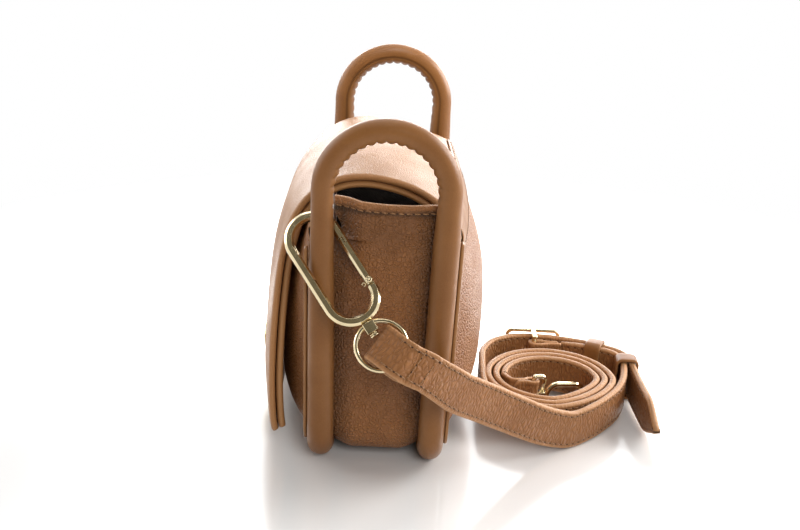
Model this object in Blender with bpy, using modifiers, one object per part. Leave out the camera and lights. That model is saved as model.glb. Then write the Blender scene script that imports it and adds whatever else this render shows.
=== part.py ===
"""A small leather flap bag with two arched roll handles and a clip-on strap.

Metres, +Z up.  The origin lies on the floor under the middle of the bag.
+X runs along the bag's length, towards the end that carries the clip, -Y is
the flap's side and +Y is the back, where the strap lies coiled on its edge.
"""
import math

import bmesh
import bpy
from mathutils import Matrix, Vector

UP = Vector((0.0, 0.0, 1.0))
WELD_SHARE = 0.001

# Clearances and resting height
GAP = 0.0003
CUT_OVERRUN = 0.004
FLOOR_CUT_DEPTH = 0.01

# The rolls: leather tubes round a filler, one arch at each end and one along each bottom edge
ARCH_X = 0.0925
ROLL_RADIUS = 0.00615
ROLL_WALL = 0.0016
ROLL_FLAT = 0.0005
ROLL_FLATS_SHARE = 0.951
LEG_Y_TOP = 0.0286
LEG_Y_FOOT = 0.0266
ARCH_BASE_Z = 0.1385
ARCH_ROLL_SHARE = 0.88
CORNER_RADIUS = 0.018
ROLL_Z = ROLL_RADIUS - ROLL_FLAT
CORNER_X = ARCH_X - CORNER_RADIUS
CORNER_Z = ROLL_Z + CORNER_RADIUS
SEAM_X = CORNER_X - 0.0020
ARCH_STEPS = 12
CORNER_STEPS = 5

# The gusset: one strip down the near end, under the bag and up the far end
GUSSET_WALL = 0.0022
GUSSET_TOP_Z = 0.1330
GUSSET_HEM_DIP = 0.002
GUSSET_EDGE_OUT = 0.0042
GUSSET_END_CROWN = 0.0036
GUSSET_RADIAL = CORNER_RADIUS - ROLL_RADIUS - GAP
GUSSET_FLOOR_CROWN = CORNER_Z - GUSSET_RADIAL
GUSSET_CORNER_LIFT = 0.0038
GUSSET_CROWN_SHARE = 1.25
GUSSET_ACROSS_SHARES = (1.0, 0.92, 0.84, 0.785, 0.757, 0.6, 0.42, 0.2, 0.0)
NEAR_HEIGHT_SHARES = (1.0, 0.932, 0.88, 0.835, 0.782, 0.707, 0.45)
FAR_HEIGHT_SHARES = (0.9135, 0.72, 0.45)
FLOOR_STEPS = 3
DENT_DEPTH = 0.0056
DENT_INNER_Y = -0.0100
DENT_OUTER_Y = -0.0195
DENT_CURVE_SHARE = 0.8
DENT_SHARES = ((0.0, 0.0), (0.72, 0.0), (0.79, 0.5), (0.835, 1.0), (0.90, 1.0), (1.0, 0.4))

# Front and back panels, full and rounded between the rolls
PANEL_WALL = 0.0022
PANEL_EDGE_OUT = 0.0068
PANEL_RADIAL = 0.0105
FRONT_TOP_Z = 0.1168
BACK_TOP_Z = 0.114
FRONT_BULGE_SHARES = ((0.0, 0.0), (0.035, 0.42), (0.08, 0.72), (0.15, 0.92), (0.26, 1.0), (0.42, 1.0),
                      (0.64, 0.88), (0.84, 0.53), (1.0, 0.08))
BACK_BULGE_SHARES = ((0.0, 0.0), (0.035, 0.45), (0.08, 0.76), (0.16, 0.93), (0.3, 1.0), (0.5, 0.98),
                     (0.68, 0.86), (0.85, 0.58), (1.0, 0.20))
PANEL_COLUMNS = 12
PANEL_CURVE_SHARE = 2.2
INNER_SLOPE_SHARE = 1.16

# Trim strips that bind the panels along the rolls
TRIM_THICKNESS = 0.0016
TRIM_WIDTH = 0.0054
TRIM_INSET = 0.0006
FRONT_TRIM_TOP_Z = 0.1105
BACK_TRIM_TOP_Z = 0.1120

# Openings beside the front legs, where the clip passes behind a handle
NOTCH_Z = 0.1130
NOTCH_INNER_Y = 0.0206
NOTCH_INNER_X = 0.0785
NOTCH_OUT = 0.026

# Flap: outer leather and lining, hinged along the top of the back panel
FLAP_WALL = 0.0033
LINING_WALL = 0.0028
LINING_INSET = 0.0005
FLAP_REACH = 0.0525
HINGE_REACH_SHARE = 0.7619
FLAP_TOP_Z = 0.1372
FLAP_HALF_WIDTH = 0.0840
FLAP_CROWN = 0.0085
FLAP_HINGE_Y = FLAP_REACH * HINGE_REACH_SHARE
FLAP_HINGE_Z = BACK_TOP_Z + GAP / 2
FLAP_START_Z = BACK_TOP_Z + GAP
FLAP_COLUMNS = 10
# Each row: depth share of the reach, height share of the top, width share, crown share
FLAP_SHARES = (
    (0.676, 0.862, 0.988, 0.38), (0.640, 0.870, 0.955, 0.34), (0.560, 0.906, 0.860, 0.29),
    (0.425, 0.938, 0.765, 0.25), (0.212, 0.972, 0.722, 0.24), (-0.048, 0.996, 0.720, 0.26),
    (-0.286, 1.000, 0.727, 0.31), (-0.495, 0.980, 0.738, 0.38), (-0.695, 0.931, 0.756, 0.47),
    (-0.825, 0.867, 0.780, 0.55), (-0.895, 0.798, 0.804, 0.62), (-0.950, 0.692, 0.840, 0.73),
    (-0.981, 0.561, 0.881, 0.85), (-0.998, 0.408, 0.929, 0.94), (-0.998, 0.262, 0.970, 1.0),
    (-0.979, 0.153, 0.994, 1.0), (-0.962, 0.104, 0.985, 1.0), (-0.953, 0.086, 0.945, 0.99))

# The panels swell to fill the flap, with room for the snap discs in front
FLAP_ROOM = 0.0045
FRONT_BULGE = FLAP_REACH + FLAP_CROWN - FLAP_WALL - LINING_WALL - FLAP_ROOM - PANEL_EDGE_OUT - LEG_Y_FOOT
BACK_BULGE_SHARE = 0.3619
BACK_BULGE = FLAP_REACH * BACK_BULGE_SHARE

# Clasp: a plain plate outside, two snap discs inside
FRONT_SHARE = -0.9
PLATE_HEIGHT = 0.0220
PLATE_WIDTH = 0.0150
PLATE_THICKNESS = 0.0014
PLATE_BOW = 0.0003
PLATE_EDGE_SHARE = 0.3
PLATE_Z = 0.0255
KNOB_RADIUS = 0.0052
KNOB_HEIGHT = 0.0012
SNAP_RADIUS = 0.0065
SNAP_THICKNESS = 0.0009

# Inside the bag
BOARD_THICKNESS = 0.0020
BOARD_WIDTH = 0.0220
BOARD_LENGTH_SHARE = 0.66
POCKET_THICKNESS = 0.0012
POCKET_SHARES = (0.22, 0.72)
POCKET_HALF_WIDTH_SHARE = 0.62

# Strap leather
STRAP_WIDTH = 0.0200
STRAP_THICKNESS = 0.0034
END_WIDTH = 0.0184
END_THICKNESS = 0.0020
STRAP_CHAMFER_SHARE = 0.3
COIL_LEAN = 0.035
COIL_FRONT_X = 0.0640
STRAP_FLOOR = 0.0002

# Front clip: a long oval of flat-sided rod, with a gate, on a swivel ring
CLIP_TILT = math.radians(36.0)
CLIP_LEAN = math.radians(55.0)
CLIP_CENTRE = Vector((0.0968, -0.0228, 0.1034))
CLIP_HALF_WIDTH = 0.0111
CLIP_HALF_LENGTH = 0.0272
CLIP_ROD = 0.0022
CLIP_LEAD = 0.000226
CLIP_NOSE_SHARE = 0.4472

# Rear clip: a short one on a narrow loop, which stands inside the coil
REAR_HALF_WIDTH = 0.0058
REAR_HALF_LENGTH = 0.0108
REAR_ROD = 0.0013
REAR_LEAD = 0.000179
REAR_NOSE_SHARE = 0.68
REAR_AXIS = Vector((-0.34, 0.93, -0.105))
REAR_LEAD_X = 0.0060
REAR_LEAD_Y = 0.0140
REAR_LIFT = 0.0010

# Parts that both clips share, in shares of the rod's radius
GATE_ROD_SHARE = 0.9
LAP_LENGTH_SHARE = 1.3
TANG_THICKNESS_SHARE = 0.62
SLOT_THICKNESS_SHARE = 0.98
RIVET_RADIUS_SHARE = 0.36
RIVET_HOLE_SHARE = 0.52
RIVET_HEAD_SHARE = 0.62
RIVET_HEAD_HEIGHT_SHARE = 0.2
KNUCKLE_GAP_SHARE = 0.54
SPRING_WIRE_SHARE = 0.12
NECK_RADIUS_SHARE = 0.5
NECK_HOLE_SHARE = 0.66
HEAD_RADIUS_SHARE = 0.92
HEAD_HEIGHT_SHARE = 0.4
WASHER_SHARE = 0.24
BOSS_SIZE_SHARE = 2.5
BOSS_LENGTH_SHARE = 2.36
BOSS_DEPTH_SHARE = 0.9
TANG_WIDTH_SHARE = 0.7
TANG_END_SHARE = 0.76
TANG_NECK_SHARE = 0.56
KNUCKLE_RADIUS_SHARE = 0.95
KNUCKLE_HEIGHT_SHARE = 0.94
SLOT_LENGTH_SHARE = 1.75
ROD_STEPS = 10

# Swivel loops
RING_RADIUS = 0.0113
RING_WIRE = 0.00115
RING_SINK = 0.0006
RING_CENTRE = CLIP_HALF_LENGTH + CLIP_ROD + GAP + RING_RADIUS + RING_SINK
LOOP_HALF_WIDTH = 0.0106
LOOP_CORNER = 0.0018
LOOP_DEPTH = 0.0060
LOOP_WIRE = 0.0011
RING_STEPS = 28

# Buckle: a long frame with a middle bar, and the tongue on the bar
BAR_X = -0.0185
BAR_Y = 0.0862
BAR_RADIUS = 0.0012
FRAME_HALF_LENGTH = 0.0145
FRAME_WIRE = 0.0011
FRAME_OUT_X = -0.0285
FRAME_OVER = 0.0004
LUG_LENGTH = 0.0030
TONGUE_RADIUS = 0.0008
EYE_START = math.radians(112.5)
EYE_STOP = math.radians(-150.0)
EYE_STEPS = 7
LUG_HEIGHT_SHARE = 0.9
# The tongue's bends: how far out of the strap, and how far along it
TONGUE_SHARES = ((0.55, 0.22436), (0.95, 0.44872), (1.0, 1.0))

# Keeper loops
KEEPER_WALL = 0.0012
KEEPER_WIDTH = 0.0090
KEEPER_DEPTH = 0.0100
KEEPER_PLACES = ((-0.0166, 0.1200), (0.0010, 0.1352))
KEEPER_TURNS = (math.radians(-24.0), math.radians(89.0))

# Strap ends, folded back round a wire: how far the hollow reaches, and where the under layer ends
FOLD_STEPS = 6
RING_SPOTS = (0.0128, 0.0165, 0.0190, 0.0220, 0.0250)
BAR_SPOTS = (0.0030, 0.0080, 0.0150)
LOOP_SPOTS = (0.0020, 0.0050, 0.0110)
BAR_TAIL = 0.0200
GROW_LENGTH = 0.0020
GROW_STEPS = 3
STRAP_DROP = math.radians(33.0)
RUN_DETAIL = 3

# Slots in the straps for the buckle's tongue
SLOT_WIDTH = 0.0030
SLOT_REACH = 0.0110
SLOT_LENGTH = 0.0090
SLOT_SHIFT = 0.0016
TAIL_SLOT_SHIFT = 0.00703

# The short strap's run, from the double end at the ring to the buckle's bar: x, y, z
RUN_POINTS = ((0.1195, 0.0215, 0.0650), (0.1140, 0.0307, 0.0570), (0.1070, 0.0382, 0.0494),
              (0.0970, 0.0484, 0.0409), (0.0880, 0.0589, 0.0327), (0.0800, 0.0698, 0.0248),
              (0.0730, 0.0809, 0.0176), (0.0665, 0.0912, 0.0124))
FLOOR_POINTS = ((0.0620, 0.0990), (0.0548, 0.1080), (0.0455, 0.1165), (0.0335, 0.1250), (0.0210, 0.1302),
                (0.0080, 0.1328), (-0.0020, 0.1332), (-0.0085, 0.1300), (-0.0130, 0.1232),
                (-0.0160, 0.1140), (-0.0180, 0.1060))
# The long strap outside the short one: from the tail's tip back to the buckle
TAIL_POINTS = ((0.0610, 0.1420), (0.0480, 0.1407), (0.0330, 0.1394), (0.0180, 0.1384), (0.0060, 0.1378),
               (-0.0040, 0.1372), (-0.0110, 0.1332), (-0.0162, 0.1256), (-0.0205, 0.1160), (-0.0234, 0.1060),
               (-0.0252, 0.0960), (-0.0258, 0.0862), (-0.0252, 0.0780), (-0.0226, 0.0700), (-0.0170, 0.0624),
               (-0.0090, 0.0580), (0.0010, 0.0558), (0.0120, 0.0543))
TAIL_TIP_SHARES = ((0.0, 0.12), (0.12, 0.42), (0.3, 0.8), (0.5, 1.0))

# The coil inside: an oval that winds in
COIL_X = 0.0237
COIL_Y = 0.0900
COIL_RADIUS_X = 0.0340
COIL_RADIUS_Y = 0.0364
COIL_PITCH_X = 0.0044
COIL_PITCH_Y = 0.0043
COIL_TURNS = 3.0
COIL_SQUEEZE = 0.0034
COIL_STEPS_A_TURN = 20


def collection(name):
    """Returns a new collection of the scene."""
    made = bpy.data.collections.new(name)
    bpy.context.scene.collection.children.link(made)
    return made


def clear_scene():
    """Removes every object of the start-up scene."""
    for item in list(bpy.data.objects):
        bpy.data.objects.remove(item, do_unlink=True)


clear_scene()
PARTS = collection("flap_bag")
CUTTERS = collection("cutters")

# Colour, roughness and metallic value of each finish
FINISHES = {
    "smooth_leather": ((0.262, 0.115, 0.048), 0.42, 0.0),
    "grained_leather": ((0.300, 0.138, 0.062), 0.55, 0.0),
    "lining_fabric": ((0.160, 0.085, 0.045), 0.85, 0.0),
    "pale_gold": ((0.780, 0.640, 0.380), 0.18, 1.0),
    "filler": ((0.700, 0.680, 0.620), 0.90, 0.0),
    "board": ((0.350, 0.270, 0.190), 0.80, 0.0),
}


def material(name):
    """Returns a material of its own for one object, from the named finish."""
    colour, roughness, metallic = FINISHES[name]
    made = bpy.data.materials.new(name)
    made.use_nodes = True
    shader = made.node_tree.nodes["Principled BSDF"]
    shader.inputs["Base Color"].default_value = (*colour, 1.0)
    shader.inputs["Roughness"].default_value = roughness
    shader.inputs["Metallic"].default_value = metallic
    return made


def add_object(name, data, finish=None, group=None):
    """Links a new object for the data, with the finish's material."""
    made = bpy.data.objects.new(name, data)
    (group or PARTS).objects.link(made)
    if finish:
        data.materials.append(material(finish))
    return made


def mesh_from(bm, name):
    """Writes the bmesh into a new mesh, with its faces turned outwards."""
    data = bpy.data.meshes.new(name)
    bm.to_mesh(data)
    bm.free()
    return data


def smooth_shade(made, angle=math.radians(40.0)):
    """Shades a rounded object smooth, with its sharper edges kept."""
    made.data.shade_smooth()
    made.data.set_sharp_from_angle(angle=angle)


def lerp(a, b, t):
    """Returns the value a share t of the way from a to b."""
    return a + (b - a) * t


def from_table(table, share):
    """Reads a table of (share, value) pairs at the given share."""
    for (s0, v0), (s1, v1) in zip(table, table[1:]):
        if share <= s1:
            return lerp(v0, v1, (share - s0) / (s1 - s0))
    return table[-1][1]


def roll_y(z):
    """Gives a leg's distance from the middle plane at height z."""
    share = min(1.0, max(0.0, (z - CORNER_Z) / (ARCH_BASE_Z - CORNER_Z)))
    return lerp(LEG_Y_FOOT, LEG_Y_TOP, share)


def sheet(name, rows, wall, finish, flip=False):
    """Makes a shell: a grid of points as its outer face, thickened inwards."""
    bm = bmesh.new()
    grid = [[bm.verts.new(point) for point in row] for row in rows]
    for upper, lower in zip(grid, grid[1:]):
        for k in range(len(upper) - 1):
            corners = [upper[k], upper[k + 1], lower[k + 1], lower[k]]
            bm.faces.new(corners if flip else corners[::-1])
    made = add_object(name, mesh_from(bm, name), finish)
    shell = made.modifiers.new("Wall", "SOLIDIFY")
    shell.thickness = wall
    shell.offset = -1.0
    smooth_shade(made)
    return made


def push_in(rows, distance):
    """Moves a grid of points along its own normals, away from its outer face."""
    moved = []
    last_row = len(rows) - 1
    for i, row in enumerate(rows):
        last = len(row) - 1
        line = []
        for k, point in enumerate(row):
            along = row[min(k + 1, last)] - row[max(k - 1, 0)]
            down = rows[min(i + 1, last_row)][k] - rows[max(i - 1, 0)][k]
            line.append(point + along.cross(down).normalized() * distance)
        moved.append(line)
    return moved


def loft(name, rings, finish, group=None):
    """Joins closed rings of points into one capped body."""
    bm = bmesh.new()
    loops = [[bm.verts.new(point) for point in ring] for ring in rings]
    count = len(loops[0])
    for a, b in zip(loops, loops[1:]):
        for k in range(count):
            bm.faces.new((a[k], a[(k + 1) % count], b[(k + 1) % count], b[k]))
    bm.faces.new(loops[0][::-1])
    bm.faces.new(loops[-1])
    bmesh.ops.recalc_face_normals(bm, faces=bm.faces)
    return add_object(name, mesh_from(bm, name), finish, group)


def wire(name, points, radius, finish, resolution=2, closed=False, radii=None, caps=True, group=None):
    """Makes a round rod or tube along the points, as a mesh."""
    data = bpy.data.curves.new(name, "CURVE")
    data.dimensions = "3D"
    data.bevel_depth = radius
    data.bevel_resolution = resolution
    data.use_fill_caps = caps and not closed
    spline = data.splines.new("POLY")
    spline.points.add(len(points) - 1)
    for k, point in enumerate(points):
        spline.points[k].co = (*point, 1.0)
        spline.points[k].radius = radii[k] if radii else 1.0
    spline.use_cyclic_u = closed
    guide = bpy.data.objects.new(name + "_path", data)
    CUTTERS.objects.link(guide)
    bpy.context.view_layer.update()
    graph = bpy.context.evaluated_depsgraph_get()
    mesh = bpy.data.meshes.new_from_object(guide.evaluated_get(graph))
    mesh.name = name
    matrix = guide.matrix_world.copy()
    bpy.data.objects.remove(guide, do_unlink=True)
    bpy.data.curves.remove(data)
    bm = bmesh.new()
    bm.from_mesh(mesh)
    bmesh.ops.remove_doubles(bm, verts=bm.verts, dist=radius * WELD_SHARE)
    bmesh.ops.recalc_face_normals(bm, faces=bm.faces)
    bm.to_mesh(mesh)
    bm.free()
    mesh.materials.clear()
    made = add_object(name, mesh, finish, group)
    made.matrix_world = matrix
    smooth_shade(made)
    return made


def box(name, centre, size, finish=None, group=None, bevel=0.0):
    """Makes a box from a cube primitive, with rounded edges if asked."""
    bm = bmesh.new()
    bmesh.ops.create_cube(bm, size=1.0, matrix=Matrix.Diagonal((*size, 1.0)))
    made = add_object(name, mesh_from(bm, name), finish, group)
    made.location = centre
    if bevel:
        edge = made.modifiers.new("Edges", "BEVEL")
        edge.width = bevel
        edge.segments = 2
    return made


def rod(name, centre, axis, radius, length, finish=None, group=None, sides=16):
    """Makes a cylinder about the given axis."""
    bm = bmesh.new()
    bmesh.ops.create_cone(bm, cap_ends=True, segments=sides, radius1=radius, radius2=radius, depth=length)
    made = add_object(name, mesh_from(bm, name), finish, group)
    made.rotation_mode = "QUATERNION"
    made.rotation_quaternion = Vector((0.0, 0.0, 1.0)).rotation_difference(Vector(axis))
    made.location = centre
    smooth_shade(made)
    return made


def combine(target, other, operation):
    """Adds or cuts another object with an exact Boolean, and keeps it as a guide."""
    step = target.modifiers.new(operation.title(), "BOOLEAN")
    step.operation = operation
    step.solver = "EXACT"
    step.object = other
    for owner in list(other.users_collection):
        owner.objects.unlink(other)
    CUTTERS.objects.link(other)
    other.hide_render = True
    other.display_type = "WIRE"


def cut(target, cutter):
    """Cuts the cutter out of the target."""
    combine(target, cutter, "DIFFERENCE")


def join(target, other):
    """Fuses the other solid into the target."""
    combine(target, other, "UNION")


def carry(made, parent):
    """Parents a piece to an empty, and leaves it in the empty's own frame."""
    made.parent = parent


def empty(name, location, basis=None):
    """Makes an empty at a joint or on a clip, with the given axes."""
    made = bpy.data.objects.new(name, None)
    PARTS.objects.link(made)
    if basis:
        made.matrix_world = Matrix.Translation(location) @ basis.to_4x4()
    else:
        made.location = location
    return made


def arc(centre, radius, start, stop, steps):
    """Lists points (a, b) on an arc, its angles in radians, both ends in."""
    points = []
    for k in range(steps + 1):
        angle = lerp(start, stop, k / steps)
        points.append((centre[0] + radius * math.cos(angle), centre[1] + radius * math.sin(angle)))
    return points


def end_stations(heights, floor_steps):
    """Walks down one end and half the bottom: (x, z, outward x, outward z)."""
    half = [(CORNER_X, z, 1.0, 0.0) for z in heights]
    for k in range(CORNER_STEPS + 1):
        angle = math.pi / 2 * k / CORNER_STEPS
        half.append((CORNER_X, CORNER_Z, math.cos(angle), -math.sin(angle)))
    for k in range(1, floor_steps):
        half.append((lerp(CORNER_X, 0.0, k / floor_steps), CORNER_Z, 0.0, -1.0))
    return half


def u_stations(near_heights, far_heights, floor_steps):
    """Walks down the near end, under the bag and up the far end."""
    near = end_stations(near_heights, floor_steps)
    far = [(-x, z, -nx, nz) for x, z, nx, nz in reversed(end_stations(far_heights, floor_steps))]
    return near + [(0.0, CORNER_Z, 0.0, -1.0)] + far


def floor_cutter(name):
    """Makes a block that trims whatever reaches under the floor."""
    width = 4 * ARCH_X
    return box(name, (0.0, 0.0, -FLOOR_CUT_DEPTH / 2), (width, width, FLOOR_CUT_DEPTH), group=CUTTERS)


def handle_points(end):
    """Follows one handle from the front corner up, over and down to the back corner."""
    foot = [(SEAM_X + GAP / 2, ROLL_Z)]
    foot += arc((CORNER_X, CORNER_Z), CORNER_RADIUS, -math.pi / 2, 0.0, CORNER_STEPS)
    points = [Vector((end * x, -LEG_Y_FOOT, z)) for x, z in foot]
    radii = [1.0] * len(points)
    for y, z in arc((0.0, ARCH_BASE_Z), LEG_Y_TOP, math.pi, 0.0, ARCH_STEPS):
        points.append(Vector((end * ARCH_X, y, z)))
        radii.append(ARCH_ROLL_SHARE)
    bend = NOTCH_Z
    points.insert(len(foot), Vector((end * ARCH_X, -roll_y(bend), bend)))
    radii.insert(len(foot), 1.0)
    points.append(Vector((end * ARCH_X, roll_y(bend), bend)))
    radii.append(1.0)
    for x, z in reversed(foot):
        points.append(Vector((end * x, LEG_Y_FOOT, z)))
        radii.append(1.0)
    return points, radii


def rolled_tube(name, points, radii, trim):
    """Makes a roll: a leather tube with a filler cord inside it."""
    cover = wire(name, points, ROLL_RADIUS, "smooth_leather", resolution=3, radii=radii, caps=False)
    shell = cover.modifiers.new("Wall", "SOLIDIFY")
    shell.thickness = ROLL_WALL
    shell.offset = -1.0
    cut(cover, trim)
    hollow = [(ROLL_RADIUS * share - ROLL_WALL) * ROLL_FLATS_SHARE - GAP for share in radii]
    shares = [radius / hollow[0] for radius in hollow]
    wire(name + "_core", points, hollow[0], "filler", radii=shares)
    return cover


def build_rolls():
    """Makes the two handles and the two rolls under the bag's long edges."""
    trim = floor_cutter("floor_trim")
    for name, end in (("near_handle", 1.0), ("far_handle", -1.0)):
        points, radii = handle_points(end)
        rolled_tube(name, points, radii, trim)
    reach = SEAM_X - GAP / 2
    for name, side in (("front_roll", -1.0), ("back_roll", 1.0)):
        points = [Vector((x, side * LEG_Y_FOOT, ROLL_Z)) for x in (-reach, 0.0, reach)]
        rolled_tube(name, points, [1.0] * len(points), trim)


def gusset_rise(y, centre_y, crown):
    """Gives how far the gusset stands out at y, clear of the roll beside it."""
    reach = ROLL_RADIUS + GAP
    near = abs(y)
    if near >= centre_y:
        return 0.0
    full = crown * min(1.0, GUSSET_CROWN_SHARE * (1.0 - (near / centre_y) ** 2))
    if near <= centre_y - reach:
        return full
    return min(full, reach - math.sqrt(reach ** 2 - (centre_y - near) ** 2))


def clip_dent(y, z):
    """Gives how far the clip presses the gusset in at (y, z)."""
    across = min(1.0, max(0.0, (DENT_INNER_Y - y) / (DENT_INNER_Y - DENT_OUTER_Y)))
    return DENT_DEPTH * from_table(DENT_SHARES, z / GUSSET_TOP_Z) * across ** DENT_CURVE_SHARE


def build_gusset():
    """Makes the strip that closes both ends and the bottom."""
    rows = []
    near = [GUSSET_TOP_Z * share for share in NEAR_HEIGHT_SHARES]
    far = [GUSSET_TOP_Z * share for share in FAR_HEIGHT_SHARES]
    sides = [-share for share in GUSSET_ACROSS_SHARES] + list(reversed(GUSSET_ACROSS_SHARES[:-1]))
    stations = u_stations(near, far, FLOOR_STEPS)
    for x, z, out_x, out_z in stations:
        centre_y = roll_y(z)
        raised = max(0.0, FLOOR_STEPS * (abs(x) / CORNER_X - 1.0) + 1.0)
        crown = lerp(GUSSET_END_CROWN, GUSSET_FLOOR_CROWN - GUSSET_CORNER_LIFT * raised, -out_z)
        at_top = z in (near[0], far[0])
        row = []
        for side in [-2.0] + sides + [2.0]:
            y = side * centre_y
            if abs(side) > 1.0:
                y = math.copysign(centre_y + GUSSET_EDGE_OUT, side)
            radial = GUSSET_RADIAL + gusset_rise(y, centre_y, crown)
            if out_x == 1.0:
                radial -= clip_dent(y, z)
            dip = GUSSET_HEM_DIP * max(0.0, 1.0 - (y / centre_y) ** 2) if at_top else 0.0
            row.append(Vector((x + out_x * radial, y, z + out_z * radial - dip)))
        rows.append(row)
    gusset = sheet("gusset", rows, GUSSET_WALL, "grained_leather")
    for end in (1.0, -1.0):
        cut(gusset, notch(end))
    return gusset


def notch(end):
    """Makes a block that opens the corner behind one front leg."""
    size = (NOTCH_OUT, NOTCH_OUT, NOTCH_OUT)
    centre = (end * (NOTCH_INNER_X + NOTCH_OUT / 2), -NOTCH_INNER_Y - NOTCH_OUT / 2, NOTCH_Z + NOTCH_OUT / 2)
    return box("notch", centre, size, group=CUTTERS)


def panel_rows(side, top_z, bulge, table):
    """Lays out the outer face of the front or back panel."""
    bottom_z = CORNER_Z - PANEL_RADIAL
    shares = [entry[0] for entry in table]
    rows = []
    for share in shares:
        z = lerp(bottom_z, top_z, share)
        reach = PANEL_RADIAL
        if z < CORNER_Z:
            reach = math.sqrt(max(0.0, PANEL_RADIAL ** 2 - (CORNER_Z - z) ** 2))
        half = CORNER_X + reach
        row = []
        for k in range(PANEL_COLUMNS + 1):
            across = lerp(-1.0, 1.0, k / PANEL_COLUMNS)
            full = bulge * from_table(table, share) * (1.0 - abs(across) ** PANEL_CURVE_SHARE)
            row.append(Vector((across * half, side * (roll_y(z) + PANEL_EDGE_OUT + full), z)))
        rows.append(row)
    return rows


def build_panels():
    """Makes the front and back panels and the pocket on the back one."""
    front = sheet("front_panel", panel_rows(-1.0, FRONT_TOP_Z, FRONT_BULGE, FRONT_BULGE_SHARES),
                  PANEL_WALL, "grained_leather", flip=True)
    for end in (1.0, -1.0):
        cut(front, notch(end))
    back_rows = panel_rows(1.0, BACK_TOP_Z, BACK_BULGE, BACK_BULGE_SHARES)
    sheet("back_panel", back_rows, PANEL_WALL, "grained_leather")
    low, high = POCKET_SHARES
    rows = []
    for entry, row in zip(BACK_BULGE_SHARES, back_rows):
        if low <= entry[0] <= high:
            rows.append([Vector((p.x * POCKET_HALF_WIDTH_SHARE, p.y, p.z)) for p in row])
    pocket = []
    for row in rows:
        line = []
        for point in row:
            line.append(Vector((point.x, back_inner_y(point.x, point.z) - GAP, point.z)))
        pocket.append(line)
    sheet("inner_pocket", pocket, POCKET_THICKNESS, "lining_fabric")


def back_inner_y(x, z):
    """Gives the back panel's inner face at (x, z), a little inside the true one."""
    bottom_z = CORNER_Z - PANEL_RADIAL
    share = (z - bottom_z) / (BACK_TOP_Z - bottom_z)
    across = x / (CORNER_X + PANEL_RADIAL)
    full = BACK_BULGE * from_table(BACK_BULGE_SHARES, share) * (1.0 - abs(across) ** PANEL_CURVE_SHARE)
    return roll_y(z) + PANEL_EDGE_OUT + full - PANEL_WALL * INNER_SLOPE_SHARE


def build_trims():
    """Makes the strip of leather between each panel and its rolls."""
    inner = PANEL_RADIAL + TRIM_INSET
    for name, side, top_z in (("front_trim", -1.0, FRONT_TRIM_TOP_Z), ("back_trim", 1.0, BACK_TRIM_TOP_Z)):
        rows = []
        for x, z, out_x, out_z in u_stations((top_z,), (top_z,), 1):
            outer_y = side * (roll_y(z) + ROLL_RADIUS + GAP + TRIM_THICKNESS)
            row = []
            for radial in (inner, inner + TRIM_WIDTH):
                row.append(Vector((x + out_x * radial, outer_y, z + out_z * radial)))
            rows.append(row)
        sheet(name, rows, TRIM_THICKNESS, "smooth_leather", flip=side > 0)


def flap_rows(inset):
    """Lays out the flap's outer face, from the hinge over the top and down the front."""
    rows = []
    for k, (depth, height, width, crown) in enumerate(FLAP_SHARES):
        y = depth * FLAP_REACH
        z = FLAP_START_Z if k == 0 else height * FLAP_TOP_Z
        half = width * FLAP_HALF_WIDTH - inset
        behind = FLAP_SHARES[max(k - 1, 0)]
        ahead = FLAP_SHARES[min(k + 1, len(FLAP_SHARES) - 1)]
        run = Vector((0.0, (ahead[0] - behind[0]) * FLAP_REACH, (ahead[1] - behind[1]) * FLAP_TOP_Z))
        outward = Vector((0.0, -run.z, run.y)).normalized()
        if k == 0:
            outward = Vector((0.0, 1.0, 0.0))
        else:
            outward = -outward
        row = []
        for c in range(FLAP_COLUMNS + 1):
            across = lerp(-1.0, 1.0, c / FLAP_COLUMNS)
            rise = crown * FLAP_CROWN * (1.0 - across ** 2)
            row.append(Vector((across * half, y, z)) + outward * rise)
        rows.append(row)
    return rows


def build_flap(pivot):
    """Makes the flap and its lining on the hinge along the back panel's top."""
    outer = flap_rows(0.0)
    lining = push_in(flap_rows(LINING_INSET), FLAP_WALL + GAP)
    shift = pivot.location
    for name, rows, wall, finish in (("flap", outer, FLAP_WALL, "grained_leather"),
                                     ("flap_lining", lining, LINING_WALL, "smooth_leather")):
        local = [[point - shift for point in row] for row in rows]
        made = sheet(name, local, wall, finish)
        carry(made, pivot)
        base = box(name + "_base", (0.0, FLAP_HINGE_Y, FLAP_START_Z - FLOOR_CUT_DEPTH / 2),
                   (4 * ARCH_X, FLAP_HINGE_Y, FLOOR_CUT_DEPTH), group=CUTTERS)
        cut(made, base)


def flap_face(z, share):
    """Gives the flap's outer depth on the middle line at height z, on its front."""
    front = [(height * FLAP_TOP_Z, depth * FLAP_REACH - crown * FLAP_CROWN)
             for depth, height, width, crown in FLAP_SHARES if depth < share]
    front.sort()
    return from_table(front, z)


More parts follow.
